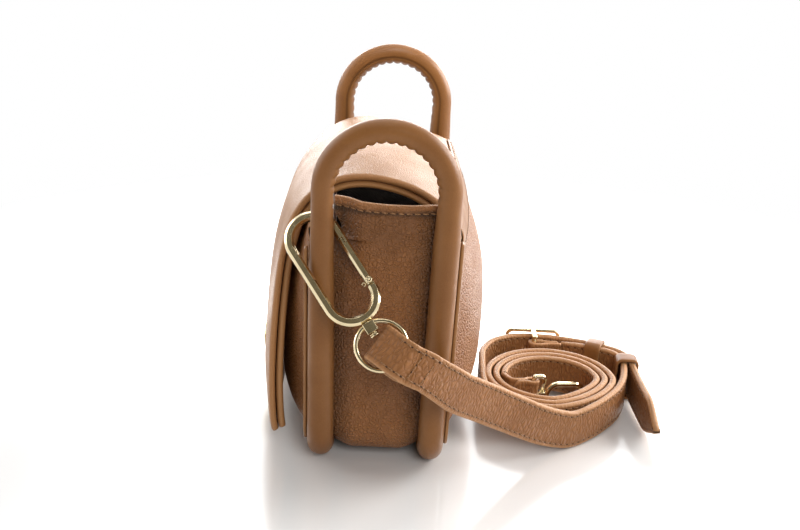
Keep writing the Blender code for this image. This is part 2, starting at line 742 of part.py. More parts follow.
def build_clasp(pivot):
    """Makes the plate on the flap and the snap discs between flap and panel."""
    face_y = flap_face(PLATE_Z, FRONT_SHARE)
    lean = math.atan2(flap_face(PLATE_Z - PLATE_HEIGHT / 2, FRONT_SHARE)
                      - flap_face(PLATE_Z + PLATE_HEIGHT / 2, FRONT_SHARE), PLATE_HEIGHT)
    outward = Vector((0.0, -math.cos(lean), -math.sin(lean)))
    centre = Vector((0.0, face_y, PLATE_Z)) - pivot.location
    centre += outward * (GAP + PLATE_BOW + PLATE_THICKNESS / 2)
    plate = box("clasp_plate", centre, (PLATE_WIDTH, PLATE_THICKNESS, PLATE_HEIGHT), "pale_gold",
                bevel=PLATE_THICKNESS * PLATE_EDGE_SHARE)
    plate.rotation_euler = (lean, 0.0, 0.0)
    carry(plate, pivot)
    knob = rod("clasp_stud", centre + outward * (PLATE_THICKNESS / 2 + GAP + KNOB_HEIGHT / 2), outward,
               KNOB_RADIUS, KNOB_HEIGHT, "pale_gold", sides=24)
    carry(knob, pivot)
    inner_y = face_y + FLAP_WALL + GAP + LINING_WALL + PLATE_BOW
    snap = rod("flap_snap", Vector((0.0, inner_y + GAP + SNAP_THICKNESS / 2, PLATE_Z)) - pivot.location,
               (0.0, 1.0, 0.0), SNAP_RADIUS, SNAP_THICKNESS, "pale_gold", sides=20)
    carry(snap, pivot)
    panel_y = panel_face(PLATE_Z)
    rod("panel_snap", Vector((0.0, -panel_y - GAP - SNAP_THICKNESS / 2, PLATE_Z)), (0.0, 1.0, 0.0),
        SNAP_RADIUS, SNAP_THICKNESS, "pale_gold", sides=20)


def panel_face(z):
    """Gives the front panel's outer depth on the middle line at height z."""
    bottom_z = CORNER_Z - PANEL_RADIAL
    share = (z - bottom_z) / (FRONT_TOP_Z - bottom_z)
    reach = SNAP_RADIUS / (FRONT_TOP_Z - bottom_z)
    full = max(from_table(FRONT_BULGE_SHARES, min(1.0, share + reach)), from_table(FRONT_BULGE_SHARES, share))
    return roll_y(z) + PANEL_EDGE_OUT + FRONT_BULGE * full


def build_board():
    """Makes the stiffener that lies on the gusset's floor."""
    length = 2 * CORNER_X * BOARD_LENGTH_SHARE
    z = GUSSET_WALL + GAP + BOARD_THICKNESS / 2
    box("base_board", (0.0, 0.0, z), (length, BOARD_WIDTH, BOARD_THICKNESS), "board")


def oval_points(half_width, half_length, start_y, stop_y):
    """Follows a long oval from one point of its right side over the top and round to another."""
    centre = half_length - half_width
    points = [(half_width, start_y)]
    points += arc((0.0, centre), half_width, 0.0, math.pi, ROD_STEPS)
    points += arc((0.0, -centre), half_width, math.pi, 2 * math.pi, ROD_STEPS)
    points.append((half_width, stop_y))
    return [Vector((x, y, 0.0)) for x, y in points]


def build_clip(prefix, frame, half_width, half_length, radius, lead, nose_share, boss_end):
    """Makes a clip's body, gate, rivet, spring and washer in the clip's own frame."""
    gate_radius = radius * GATE_ROD_SHARE
    lap = radius * LAP_LENGTH_SHARE
    knuckle = gate_radius + radius * KNUCKLE_GAP_SHARE / 2
    straight = half_length - half_width
    pivot_back = straight - knuckle - lead
    nose_forward = straight * nose_share
    body_end = -pivot_back - knuckle
    body = wire(prefix + "_clip", oval_points(half_width, half_length, nose_forward, body_end),
                radius, "pale_gold")
    notch_box = box(prefix + "_nose_step", (half_width + GAP / 2 - radius, nose_forward, 0.0),
                    (2 * radius, 2 * lap, 3 * radius), group=CUTTERS)
    tang = box(prefix + "_tang", (half_width, (body_end - pivot_back) / 2 - radius / 4, 0.0),
               (2 * radius * TANG_WIDTH_SHARE, knuckle + radius / 2, radius * TANG_NECK_SHARE), group=CUTTERS)
    tang_end = rod(prefix + "_tang_end", (half_width, -pivot_back, 0.0), (0.0, 0.0, 1.0),
                   radius * TANG_END_SHARE, radius * TANG_THICKNESS_SHARE, group=CUTTERS)
    neck_length = boss_end - half_length
    washer_height = radius * WASHER_SHARE
    head_height = radius * HEAD_HEIGHT_SHARE
    neck_reach = neck_length + head_height / 2
    neck = rod(prefix + "_neck", (0.0, -half_length - neck_reach / 2, 0.0), (0.0, 1.0, 0.0),
               radius * NECK_RADIUS_SHARE, neck_reach, group=CUTTERS, sides=12)
    head_y = -boss_end - head_height / 2
    head = rod(prefix + "_head", (0.0, head_y, 0.0), (0.0, 1.0, 0.0),
               radius * HEAD_RADIUS_SHARE, head_height, group=CUTTERS)
    rivet_hole = rod(prefix + "_rivet_hole", (half_width, -pivot_back, 0.0), (0.0, 0.0, 1.0),
                     radius * RIVET_HOLE_SHARE, 4 * radius, group=CUTTERS)
    cut(body, notch_box)
    for extra in (tang, tang_end, neck, head):
        join(body, extra)
        carry(extra, frame)
    cut(body, rivet_hole)
    for piece in (notch_box, rivet_hole, body):
        carry(piece, frame)

    washer = rod(prefix + "_washer", (0.0, -boss_end + GAP + washer_height / 2, 0.0), (0.0, 1.0, 0.0),
                 radius * HEAD_RADIUS_SHARE, washer_height, "pale_gold")
    washer_bore = rod(prefix + "_washer_bore", (0.0, -boss_end, 0.0), (0.0, 1.0, 0.0),
                      radius * NECK_HOLE_SHARE, 2 * radius, group=CUTTERS, sides=12)
    cut(washer, washer_bore)
    carry(washer_bore, frame)
    carry(washer, frame)

    rivet = rod(prefix + "_rivet", (half_width, -pivot_back, 0.0), (0.0, 0.0, 1.0),
                radius * RIVET_RADIUS_SHARE, 2 * radius + 2 * GAP, "pale_gold", sides=12)
    for side in (1.0, -1.0):
        cap = rod(prefix + "_rivet_cap", (half_width, -pivot_back, side * (radius + GAP)), (0.0, 0.0, 1.0),
                  radius * RIVET_HEAD_SHARE, radius * RIVET_HEAD_HEIGHT_SHARE, group=CUTTERS, sides=12)
        join(rivet, cap)
        carry(cap, frame)
    carry(rivet, frame)

    gate_pivot = empty(prefix + "_gate_pivot", (half_width, -pivot_back, 0.0))
    carry(gate_pivot, frame)
    length = pivot_back + nose_forward
    gate = wire(prefix + "_gate", [Vector((0.0, 0.0, 0.0)), Vector((0.0, length / 2, 0.0)),
                                   Vector((0.0, length + lap - GAP, 0.0))], gate_radius, "pale_gold")
    outer_step = box(prefix + "_gate_step", (radius - GAP / 2, length + lap / 2, 0.0),
                     (2 * radius, lap + 2 * GAP, 3 * radius), group=CUTTERS)
    slot = box(prefix + "_gate_slot", (0.0, 0.0, 0.0),
               (3 * radius, 2 * radius * SLOT_LENGTH_SHARE, radius * SLOT_THICKNESS_SHARE), group=CUTTERS)
    gate_hole = rod(prefix + "_gate_hole", (0.0, 0.0, 0.0), (0.0, 0.0, 1.0),
                    radius * RIVET_HOLE_SHARE, 4 * radius, group=CUTTERS)
    knuckle_end = rod(prefix + "_knuckle", (0.0, 0.0, 0.0), (0.0, 0.0, 1.0),
                      radius * KNUCKLE_RADIUS_SHARE, 2 * gate_radius * KNUCKLE_HEIGHT_SHARE, group=CUTTERS)
    join(gate, knuckle_end)
    for cutter in (outer_step, slot, gate_hole):
        cut(gate, cutter)
    for piece in (knuckle_end, outer_step, slot, gate_hole, gate):
        carry(piece, gate_pivot)

    spring_radius = radius * SPRING_WIRE_SHARE
    foot = -pivot_back + radius * TANG_END_SHARE + GAP + spring_radius
    spring = wire(prefix + "_gate_spring", [Vector((half_width, foot, 0.0)),
                                            Vector((half_width - radius / 8, foot + radius / 4, 0.0)),
                                            Vector((half_width, foot + radius / 2, 0.0))],
                  spring_radius, "pale_gold", resolution=1)
    carry(spring, frame)
    return gate_pivot


def boss(prefix, frame, loop, near_y, length, radius):
    """Adds the swivel's square boss to its loop, with the hole for the clip's neck."""
    size = radius * BOSS_SIZE_SHARE
    block = box(prefix + "_boss", (0.0, -near_y - length / 2, 0.0), (size, length, size * BOSS_DEPTH_SHARE),
                group=CUTTERS)
    hole = rod(prefix + "_boss_hole", (0.0, -near_y - length / 2, 0.0), (0.0, 1.0, 0.0),
               radius * NECK_HOLE_SHARE, length + CUT_OVERRUN, group=CUTTERS, sides=12)
    join(loop, block)
    cut(loop, hole)
    for piece in (block, hole, loop):
        carry(piece, frame)


def clip_basis(axis, normal):
    """Gives a clip's axes: X across to the gate, Y from the swivel to the nose, Z out of its face."""
    forward = -Vector(axis).normalized()
    face = Vector(normal).normalized()
    return Matrix((forward.cross(face), forward, face)).transposed()


def front_clip_axes():
    """Gives the front clip's swivel direction and the way its face looks."""
    normal = Vector((math.cos(CLIP_TILT), 0.0, math.sin(CLIP_TILT)))
    upward = Vector((-math.sin(CLIP_TILT), 0.0, math.cos(CLIP_TILT)))
    axis = Vector((0.0, math.cos(CLIP_LEAN), 0.0)) - math.sin(CLIP_LEAN) * upward
    return axis, normal, upward


def build_front_clip():
    """Makes the big clip round the near front leg, and its swivel ring."""
    axis, normal, upward = front_clip_axes()
    frame = empty("front_clip_frame", CLIP_CENTRE, clip_basis(axis, normal))
    near_y = CLIP_HALF_LENGTH + CLIP_ROD + GAP
    length = CLIP_ROD * BOSS_LENGTH_SHARE
    boss_end = near_y + length + GAP * 2 + CLIP_ROD * WASHER_SHARE
    build_clip("front", frame, CLIP_HALF_WIDTH, CLIP_HALF_LENGTH, CLIP_ROD, CLIP_LEAD,
               CLIP_NOSE_SHARE, boss_end)
    half_gap = math.asin(CLIP_ROD / RING_RADIUS)
    ring_path = []
    for x, y in arc((0.0, -RING_CENTRE), RING_RADIUS, math.pi / 2 + half_gap, math.pi * 2.5 - half_gap, RING_STEPS):
        ring_path.append(Vector((x, y, 0.0)))
    ring = wire("swivel_ring", ring_path, RING_WIRE, "pale_gold")
    boss("front", frame, ring, near_y, length, CLIP_ROD)
    return CLIP_CENTRE + axis * RING_CENTRE, axis, normal, upward


def ribbon(name, stations, finish="grained_leather"):
    """Makes a strap through (centre, width direction, width, thickness) stations."""
    rings = []
    last = len(stations) - 1
    for k, (centre, upward, width, thick) in enumerate(stations):
        along = stations[min(k + 1, last)][0] - stations[max(k - 1, 0)][0]
        along.normalize()
        rise = (upward - along * upward.dot(along)).normalized()
        face = along.cross(rise)
        bevel = thick * STRAP_CHAMFER_SHARE
        half_w, half_t = width / 2, thick / 2
        corners = ((half_w, half_t - bevel), (half_w - bevel, half_t), (-half_w + bevel, half_t),
                   (-half_w, half_t - bevel), (-half_w, -half_t + bevel), (-half_w + bevel, -half_t),
                   (half_w - bevel, -half_t), (half_w, -half_t + bevel))
        rings.append([centre + rise * a + face * b for a, b in corners])
    made = loft(name, rings, finish)
    smooth_shade(made, math.radians(50.0))
    return made


def through(points, per_span):
    """Reads a smooth curve that passes through the points."""
    smooth = []
    count = len(points)
    for k in range(count - 1):
        p0, p1 = points[max(k - 1, 0)], points[k]
        p2, p3 = points[k + 1], points[min(k + 2, count - 1)]
        for step in range(per_span):
            t = step / per_span
            smooth.append(0.5 * (2 * p1 + (p2 - p0) * t + (2 * p0 - 5 * p1 + 4 * p2 - p3) * t ** 2
                                 + (3 * p1 - p0 - 3 * p2 + p3) * t ** 3))
    smooth.append(points[-1].copy())
    return smooth


def coil_z(x):
    """Gives the strap's middle height where it stands on its edge at x."""
    return STRAP_FLOOR + STRAP_WIDTH / 2 + COIL_LEAN * (COIL_FRONT_X - x)


def walk(guide, distance):
    """Finds the point and the direction at a distance along a line of points."""
    left = distance
    for a, b in zip(guide, guide[1:]):
        step = (b - a).length
        if left <= step:
            return a.lerp(b, left / step), (b - a).normalized()
        left -= step
    return guide[-1].copy(), (guide[-1] - guide[-2]).normalized()


def folded_end(guide, rise, wire_radius, spots):
    """Lists the stations of a strap's end that folds back round a wire.

    The guide starts at the wire's middle.  The first spot is how far the
    hollow reaches, and the last is where the under layer ends.
    """
    open_height = wire_radius + GAP + END_THICKNESS / 2
    shut_height = (GAP + END_THICKNESS) / 2
    under, upper = [], []
    for distance in (0.0,) + tuple(spots):
        height = open_height if distance <= spots[0] else shut_height
        point, along = walk(guide, distance)
        face = along.cross(rise).normalized()
        under.insert(0, (point - face * height, rise, END_WIDTH, END_THICKNESS))
        upper.append((point + face * height, rise, END_WIDTH, END_THICKNESS))
    point, along = walk(guide, 0.0)
    face = along.cross(rise).normalized()
    bend = []
    for k in range(1, FOLD_STEPS):
        angle = math.pi * k / FOLD_STEPS
        offset = -face * math.cos(angle) - along * math.sin(angle)
        bend.append((point + offset * open_height, rise, END_WIDTH, END_THICKNESS))
    return under + bend + upper


def build_short_strap(ring, normal, upward):
    """Makes the strap from the front ring down to the coil and round to the buckle's bar."""
    along = Vector((0.0, math.cos(STRAP_DROP), 0.0)) - math.sin(STRAP_DROP) * upward
    rise = normal.cross(along)
    bar = Vector((BAR_X, BAR_Y, coil_z(BAR_X)))
    tail_guide = [bar, bar + Vector((0.0, BAR_TAIL, 0.0))]
    tail = [(Vector((p.x, p.y, coil_z(p.x))), u, w, t)
            for p, u, w, t in folded_end(tail_guide, UP, BAR_RADIUS, BAR_SPOTS)]
    route = [ring, ring + along * RING_SPOTS[0]] + [Vector(point) for point in RUN_POINTS]
    floor_from = len(route) - 1
    route += [Vector((x, y, coil_z(x))) for x, y in FLOOR_POINTS]
    route.append(tail[0][0])
    guide = through(route, RUN_DETAIL)
    stations = folded_end(guide, rise, RING_WIRE, RING_SPOTS)
    start = first_after(guide, RING_SPOTS[-1] + GROW_LENGTH)
    landing = floor_from * RUN_DETAIL
    for k in range(start, len(guide) - 1):
        turn = min(1.0, (k - start + 1) / (landing - start))
        lift = rise.lerp(UP, turn * turn * (3 - 2 * turn))
        grown = min(1.0, (k - start + 1) / GROW_STEPS, (len(guide) - k) / GROW_STEPS)
        stations.append((guide[k], lift, lerp(END_WIDTH, STRAP_WIDTH, grown),
                         lerp(END_THICKNESS, STRAP_THICKNESS, grown)))
    made = ribbon("short_strap", stations + tail)
    slot = box("short_slot", bar - Vector((SLOT_SHIFT, 0.0, 0.0)), (SLOT_REACH, SLOT_LENGTH, SLOT_WIDTH),
               group=CUTTERS)
    cut(made, slot)
    return made


def first_after(guide, distance):
    """Finds the first point of a line that lies past the distance."""
    gone = 0.0
    for k in range(1, len(guide)):
        gone += (guide[k] - guide[k - 1]).length
        if gone > distance:
            return k
    return len(guide) - 1


def coil_point(turns):
    """Gives the winding's middle line after the given turns from the bag's side."""
    angle = 2 * math.pi * turns
    squeeze = COIL_SQUEEZE * max(0.0, -math.sin(angle * 2)) if math.sin(angle) > 0.0 else 0.0
    x = COIL_X + (COIL_RADIUS_X - squeeze - COIL_PITCH_X * turns) * math.sin(angle)
    y = COIL_Y - (COIL_RADIUS_Y - squeeze - COIL_PITCH_Y * turns) * math.cos(angle)
    return Vector((x, y, coil_z(x)))


def build_long_strap():
    """Makes the strap with the pointed tail: through the buckle and three turns in."""
    route = [Vector((x, y, coil_z(x))) for x, y in TAIL_POINTS]
    outer = through(route, 2)[:-1]
    winding = []
    steps = int(COIL_TURNS * COIL_STEPS_A_TURN)
    for k in range(1, steps + 1):
        winding.append(coil_point(k / COIL_STEPS_A_TURN))
    smooth = outer + winding
    stations = []
    for k, point in enumerate(smooth):
        width = STRAP_WIDTH
        if k < len(TAIL_TIP_SHARES):
            width = STRAP_WIDTH * TAIL_TIP_SHARES[k][1]
        stations.append((point, UP, width, STRAP_THICKNESS))
    along = Vector(REAR_AXIS).normalized()
    flat = Vector((along.x, along.y, 0.0)).normalized()
    loop_wire = winding[-1] + Vector((REAR_LEAD_X, REAR_LEAD_Y, 0.0))
    loop_wire.z = coil_z(loop_wire.x) + REAR_LIFT
    back = -along
    face = back.cross(UP).normalized()
    rise = face.cross(back).normalized()
    end = folded_end([loop_wire, loop_wire + back * BAR_TAIL], rise, LOOP_WIRE, LOOP_SPOTS)
    end = list(reversed(end))
    link = through([winding[-2], winding[-1], end[0][0], end[1][0]], 3)[4:6]
    for k, point in enumerate(link):
        share = (k + 1) / (len(link) + 1)
        stations.append((point, UP, lerp(STRAP_WIDTH, END_WIDTH, share), lerp(STRAP_THICKNESS, END_THICKNESS, share)))
    made = ribbon("long_strap", stations + end)
    bar = Vector((BAR_X, BAR_Y, coil_z(BAR_X)))
    slot = box("long_slot", bar - Vector((TAIL_SLOT_SHIFT, SLOT_WIDTH, 0.0)),
               (SLOT_REACH, 2 * SLOT_WIDTH, SLOT_WIDTH), group=CUTTERS)
    cut(made, slot)
    return made, loop_wire, along, face


def build_rear_clip(loop_wire, along, face):
    """Makes the short clip and its narrow loop inside the coil."""
    length = REAR_ROD * BOSS_LENGTH_SHARE
    to_centre = LOOP_DEPTH + length + GAP + REAR_ROD + REAR_HALF_LENGTH - LOOP_WIRE
    centre = loop_wire + along * to_centre
    frame = empty("rear_clip_frame", centre, clip_basis(-along, -face))
    near_y = REAR_HALF_LENGTH + REAR_ROD + GAP
    boss_end = near_y + length + GAP * 2 + REAR_ROD * WASHER_SHARE
    build_clip("rear", frame, REAR_HALF_WIDTH, REAR_HALF_LENGTH, REAR_ROD, REAR_LEAD,
               REAR_NOSE_SHARE, boss_end)
    front_y = -near_y - length / 2
    path = []
    for side, y, turn in ((1.0, front_y, 0.0), (-1.0, front_y, 1.0), (-1.0, -to_centre, 2.0),
                          (1.0, -to_centre, 3.0)):
        inward = LOOP_CORNER * (-1.0 if y == front_y else 1.0)
        centre_xy = (side * (LOOP_HALF_WIDTH - LOOP_CORNER), y + inward)
        start = turn * math.pi / 2
        for x, at in arc(centre_xy, LOOP_CORNER, start, start + math.pi / 2, 3):
            path.append(Vector((x, at, 0.0)))
    loop = wire("rear_loop", path, LOOP_WIRE, "pale_gold", closed=True)
    boss("rear", frame, loop, near_y, length, REAR_ROD)
    return centre


def build_buckle():
    """Makes the buckle's frame, with its middle bar, and the tongue."""
    z = coil_z(BAR_X)
    rail_z = STRAP_WIDTH / 2 + FRAME_OVER + FRAME_WIRE
    corners = ((-FRAME_HALF_LENGTH, -rail_z), (-FRAME_HALF_LENGTH, rail_z),
               (FRAME_HALF_LENGTH, rail_z), (FRAME_HALF_LENGTH, -rail_z))
    path = [Vector((FRAME_OUT_X, BAR_Y + y, z + up)) for y, up in corners]
    frame = wire("buckle_frame", path, FRAME_WIRE, "pale_gold", closed=True)
    bar = rod("buckle_bar", (BAR_X, BAR_Y, z), (0.0, 0.0, 1.0), BAR_RADIUS, 2 * rail_z, group=CUTTERS, sides=12)
    join(frame, bar)
    for side in (1.0, -1.0):
        middle = (FRAME_OUT_X + BAR_X) / 2
        lug = box("buckle_lug", (middle, BAR_Y, z + side * rail_z),
                  (BAR_X - FRAME_OUT_X + 2 * BAR_RADIUS, LUG_LENGTH, 2 * FRAME_WIRE * LUG_HEIGHT_SHARE),
                  group=CUTTERS)
        join(frame, lug)
    pivot = empty("tongue_pivot", (BAR_X, BAR_Y, z))
    eye = BAR_RADIUS + GAP + TONGUE_RADIUS
    points = []
    for x, y in arc((0.0, 0.0), eye, EYE_START, EYE_STOP, EYE_STEPS):
        points.append(Vector((x, y, 0.0)))
    tip_x = FRAME_OUT_X - BAR_X - FRAME_WIRE - GAP - TONGUE_RADIUS
    tip_y = -FRAME_HALF_LENGTH - FRAME_WIRE
    for out, down in TONGUE_SHARES:
        points.append(Vector((tip_x * out, tip_y * down, 0.0)))
    tongue = wire("buckle_tongue", points, TONGUE_RADIUS, "pale_gold")
    carry(tongue, pivot)


def build_keepers():
    """Makes the two leather loops that hold the tail against the short strap."""
    for name, (x, y), turn in (("inner_keeper", KEEPER_PLACES[0], KEEPER_TURNS[0]),
                               ("outer_keeper", KEEPER_PLACES[1], KEEPER_TURNS[1])):
        depth = KEEPER_DEPTH + 2 * KEEPER_WALL
        height = STRAP_WIDTH + 2 * GAP + 2 * KEEPER_WALL
        centre = (x, y, coil_z(x))
        made = box(name, centre, (depth, KEEPER_WIDTH, height), "grained_leather", bevel=KEEPER_WALL / 2)
        bore = box(name + "_bore", centre, (KEEPER_DEPTH, KEEPER_WIDTH + CUT_OVERRUN, STRAP_WIDTH + 2 * GAP),
                   group=CUTTERS)
        for piece in (made, bore):
            piece.rotation_euler = (0.0, 0.0, turn)
        cut(made, bore)


def main():
    """Builds the whole bag."""
    build_rolls()
    build_gusset()
    build_panels()
    build_trims()
    flap_pivot = empty("flap_pivot", Vector((0.0, FLAP_HINGE_Y, FLAP_HINGE_Z)))
    build_flap(flap_pivot)
    build_clasp(flap_pivot)
    build_board()
    ring, axis, normal, upward = build_front_clip()
    build_short_strap(ring, normal, upward)
    made, loop_wire, along, face = build_long_strap()
    build_rear_clip(loop_wire, along, face)
    build_buckle()
    build_keepers()
    bpy.context.view_layer.update()


main()
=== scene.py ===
# %% [markdown]
# # A small flap bag with roll handles and a clip-on strap
# The bag stands with its end towards us. A frame of plain solids says where each part is
# and how it moves. Here we load that frame and dress it, piece by piece, in leather,
# thread and pale gold.

# %% Load the frame
import math
from bisect import bisect_right

import bpy
from mathutils import Matrix, Vector, noise


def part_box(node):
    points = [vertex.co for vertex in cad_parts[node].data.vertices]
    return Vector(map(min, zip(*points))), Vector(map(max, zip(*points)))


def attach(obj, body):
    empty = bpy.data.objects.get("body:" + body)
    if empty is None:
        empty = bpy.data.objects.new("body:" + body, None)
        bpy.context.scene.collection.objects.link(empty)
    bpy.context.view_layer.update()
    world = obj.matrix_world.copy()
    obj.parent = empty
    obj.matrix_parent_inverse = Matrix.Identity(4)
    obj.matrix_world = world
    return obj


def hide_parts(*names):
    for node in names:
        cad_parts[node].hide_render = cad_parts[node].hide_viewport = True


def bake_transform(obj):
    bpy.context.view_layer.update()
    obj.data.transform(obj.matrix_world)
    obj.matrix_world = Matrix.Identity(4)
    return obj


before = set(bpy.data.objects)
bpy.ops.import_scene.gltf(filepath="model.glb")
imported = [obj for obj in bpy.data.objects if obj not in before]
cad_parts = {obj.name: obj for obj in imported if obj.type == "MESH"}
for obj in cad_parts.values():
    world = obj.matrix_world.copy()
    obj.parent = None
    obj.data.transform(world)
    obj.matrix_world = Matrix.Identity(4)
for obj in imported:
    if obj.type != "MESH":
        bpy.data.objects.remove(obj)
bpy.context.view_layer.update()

# %% [markdown]
# ## The camera
# The picture was taken from a little above the bag, looking down on its end by 20
# degrees. A matrix built from the three viewing axes gives that view exactly; aiming by
# hand would only come near it.

# %% Camera
VIEW_AXES = Matrix(((-0.01156, 0.9988, 0.0486), (-0.3476, -0.0496, 0.9363), (0.9376, -0.00605, 0.3477)))
SPOT = Vector((0.6022, 0.0043, 0.2942))


def put(name, data):
    """Puts new data into the scene as an object."""
    made = bpy.data.objects.new(name, data)
    bpy.context.scene.collection.objects.link(made)
    return made


camera = put("camera", bpy.data.cameras.new("camera"))
camera.matrix_world = Matrix.Translation(SPOT) @ VIEW_AXES.transposed().to_4x4()
camera.data.lens, camera.data.sensor_width, camera.data.clip_start = 54.0, 36.0, 0.01
bpy.context.scene.camera = camera
bpy.context.scene.view_settings.view_transform = "Standard"
print("camera stands", round(SPOT.length, 3), "m from the middle of the bag")

# %% [markdown]
# ## Finishes are small node trees
# A finish needs colour, roughness and bump that vary. One helper adds a node with its
# settings and inputs in a line, so that a tree stays short enough to read. Thread, cloth
# and board each need only one pattern that steers all three, so one helper makes them.


# %% Helpers for node trees
def new_finish(name):
    """Starts a finish and gives it with its tree and its shader."""
    finish = bpy.data.materials.new(name)
    finish.use_nodes = True
    return finish, finish.node_tree, finish.node_tree.nodes["Principled BSDF"]


def feed(tree, slot, value):
    """Sets an input to a value, or links another node's output to it."""
    if isinstance(value, bpy.types.NodeSocket):
        tree.links.new(value, slot)
    else:
        slot.default_value = value


def add(tree, kind, inputs=(), **settings):
    """Adds a node with its settings and its inputs."""
    made = tree.nodes.new("ShaderNode" + kind)
    for key, value in settings.items():
        setattr(made, key, value)
    for name, value in dict(inputs).items():
        feed(tree, made.inputs[name], value)
    return made


def maths(tree, how, *values):
    """Combines numbers in the named way."""
    return add(tree, "Math", dict(enumerate(values)), operation=how).outputs[0]


def noise_of(tree, where, size, detail=2.0):
    """Adds soft noise whose blotches are about the given size in metres."""
    return add(tree, "TexNoise", {"Vector": where, "Scale": 1.0 / size, "Detail": detail}).outputs[0]


def span(tree, value, low, high, to_low, to_high):
    """Maps a value's range onto another range, with soft ends."""
    return add(tree, "MapRange", {0: value, 1: low, 2: high, 3: to_low, 4: to_high},
               interpolation_type="SMOOTHSTEP").outputs[0]


def blend_colour(tree, share, first, second, how="MIX"):
    """Mixes two colours by a share, or by another way such as MULTIPLY."""
    first, second = (v if isinstance(v, bpy.types.NodeSocket) else (*v, 1.0) for v in (first, second))
    return add(tree, "Mix", {0: share, 6: first, 7: second}, data_type="RGBA", blend_type=how).outputs[2]


print("helpers for node trees are ready")


# %% Helpers for whole finishes
def dress(tree, shader, colour, roughness, height=None, depth=0.0, strength=1.0):
    """Feeds a shader its colour, its roughness, and a height as bump of a depth in metres."""
    feed(tree, shader.inputs["Base Color"], colour)
    feed(tree, shader.inputs["Roughness"], roughness)
    if depth:
        bump = add(tree, "Bump", {"Height": height, "Distance": depth, "Strength": strength})
        feed(tree, shader.inputs["Normal"], bump.outputs[0])


def speckle(size):
    """Gives a pattern of soft specks."""
    return lambda tree, where: noise_of(tree, where, size)


def bands(scale, wobble, way="X"):
    """Gives a pattern of wavy bands."""
    return lambda tree, where: add(tree, "TexWave", {"Vector": where, "Scale": scale, "Distortion": wobble},
                                   bands_direction=way).outputs[1]


def patterned(name, pattern, colours, rough, depth=0.0, ends=(0.0, 1.0), dusty=None):
    """Makes a finish whose colour, roughness and bump follow one pattern."""
    finish, tree, shader = new_finish(name)
    where = add(tree, "TexCoord").outputs["Object"]
    value = pattern(tree, where)
    colour = blend_colour(tree, value, *colours)
    if dusty:
        dust = span(tree, noise_of(tree, where, 0.012), 0.4, 0.8, 0.0, 0.25)
        colour = blend_colour(tree, dust, colour, dusty)
    dress(tree, shader, colour, span(tree, value, *ends, *rough), value, depth)
    return finish


print("helpers for finishes are ready")

# %% [markdown]
# ## Floor and light
# The floor is a pale glossy sheet: it mirrors the bag softly and fades to pure white a
# little way off. The light is a white tent, strong from behind and from one side, weak
# from the front, so the leather that faces us stays deep. Two dark sheets, behind the
# camera and above it, are a painted dark reflection: only mirrored rays see them, so they
# show only in the metal, which needs something dark to look like metal.

# %% Floor
FLOOR_HALF = 6.0


def eye_rays(tree):
    """Gives 1 for what the eye meets, straight, mirrored or through glass, and else 0."""
    rays = add(tree, "LightPath").outputs
    first = maths(tree, "MAXIMUM", rays["Is Camera Ray"], rays["Is Glossy Ray"])
    return maths(tree, "MAXIMUM", first, rays["Is Transmission Ray"])


def pale_floor():
    """Makes the glossy floor, which turns plain white away from the bag."""
    finish, tree, shader = new_finish("pale_floor")
    place = add(tree, "NewGeometry").outputs["Position"]
    tone = noise_of(tree, place, 0.11)
    dress(tree, shader, blend_colour(tree, tone, (0.80, 0.79, 0.772), (0.82, 0.81, 0.795)),
          span(tree, tone, 0.2, 0.8, 0.13, 0.17), noise_of(tree, place, 0.05), 0.0002, 0.4)
    shader.inputs["Specular IOR Level"].default_value = 1.0
    shader.inputs["IOR"].default_value = 2.0
    away = add(tree, "VectorMath", {0: place, 1: (0.02, 0.05, 0.0)}, operation="DISTANCE").outputs["Value"]
    share = maths(tree, "MULTIPLY", span(tree, away, 0.20, 0.46, 0.0, 1.0), eye_rays(tree))
    white = add(tree, "Emission", {"Color": (1.0, 1.0, 1.0, 1.0), "Strength": 1.0}).outputs[0]
    mixed = add(tree, "MixShader", {0: share, 1: shader.outputs[0], 2: white}).outputs[0]
    feed(tree, tree.nodes["Material Output"].inputs["Surface"], mixed)
    return finish


def quad(name, corners, finish):
    """Makes one flat sheet for the stage."""
    data = bpy.data.meshes.new(name)
    data.from_pydata(corners, [], [(0, 1, 2, 3)])
    data.materials.append(finish)
    made = put(name, data)
    return made


SQUARE = ((-1, -1), (1, -1), (1, 1), (-1, 1))
quad("floor", [(x * FLOOR_HALF, y * FLOOR_HALF, -0.0001) for x, y in SQUARE], pale_floor())
print("floor", 2 * FLOOR_HALF, "m wide")

# %% White surroundings and the dark sheets seen only in reflections
TENT_LIGHT = 0.20
world = bpy.data.worlds.new("white_tent")
bpy.context.scene.world = world
world.use_nodes = True
sky = world.node_tree
background = sky.nodes["Background"]
background.inputs["Color"].default_value = (1.0, 1.0, 1.0, 1.0)
feed(sky, background.inputs["Strength"], span(sky, eye_rays(sky), 0.0, 1.0, TENT_LIGHT, 1.0))

cloth = patterned("reflected_dark_sheet", speckle(0.004), ((0.05, 0.045, 0.035), (0.09, 0.08, 0.06)), (0.85, 0.95))
for name, low, high, half in (("reflected_dark_sheet", (1.15, 0.0), (1.15, 0.60), 0.45),
                              ("reflected_dark_sheet_above", (1.15, 0.60), (0.25, 1.35), 0.75)):
    corners = ((low, -half), (low, half), (high, half), (high, -half))
    dark = quad(name, [(x, y, z) for (x, z), y in corners], cloth)
    # Painted dark reflection: only mirrored rays see these sheets.
    dark.visible_camera = dark.visible_diffuse = dark.visible_shadow = False
print("surroundings: white to the eye,", TENT_LIGHT, "as light")


# %% Lamps
def soft_lamp(name, place, target, size, power):
    """Adds a soft lamp that looks at a point."""
    data = bpy.data.lights.new(name, "AREA")
    data.shape = "RECTANGLE"
    data.size, data.size_y = size
    data.energy = power
    lamp = put(name, data)
    lamp.location = place
    lamp.rotation_mode = "QUATERNION"
    lamp.rotation_quaternion = (Vector(target) - Vector(place)).to_track_quat("-Z", "Y")
    return lamp


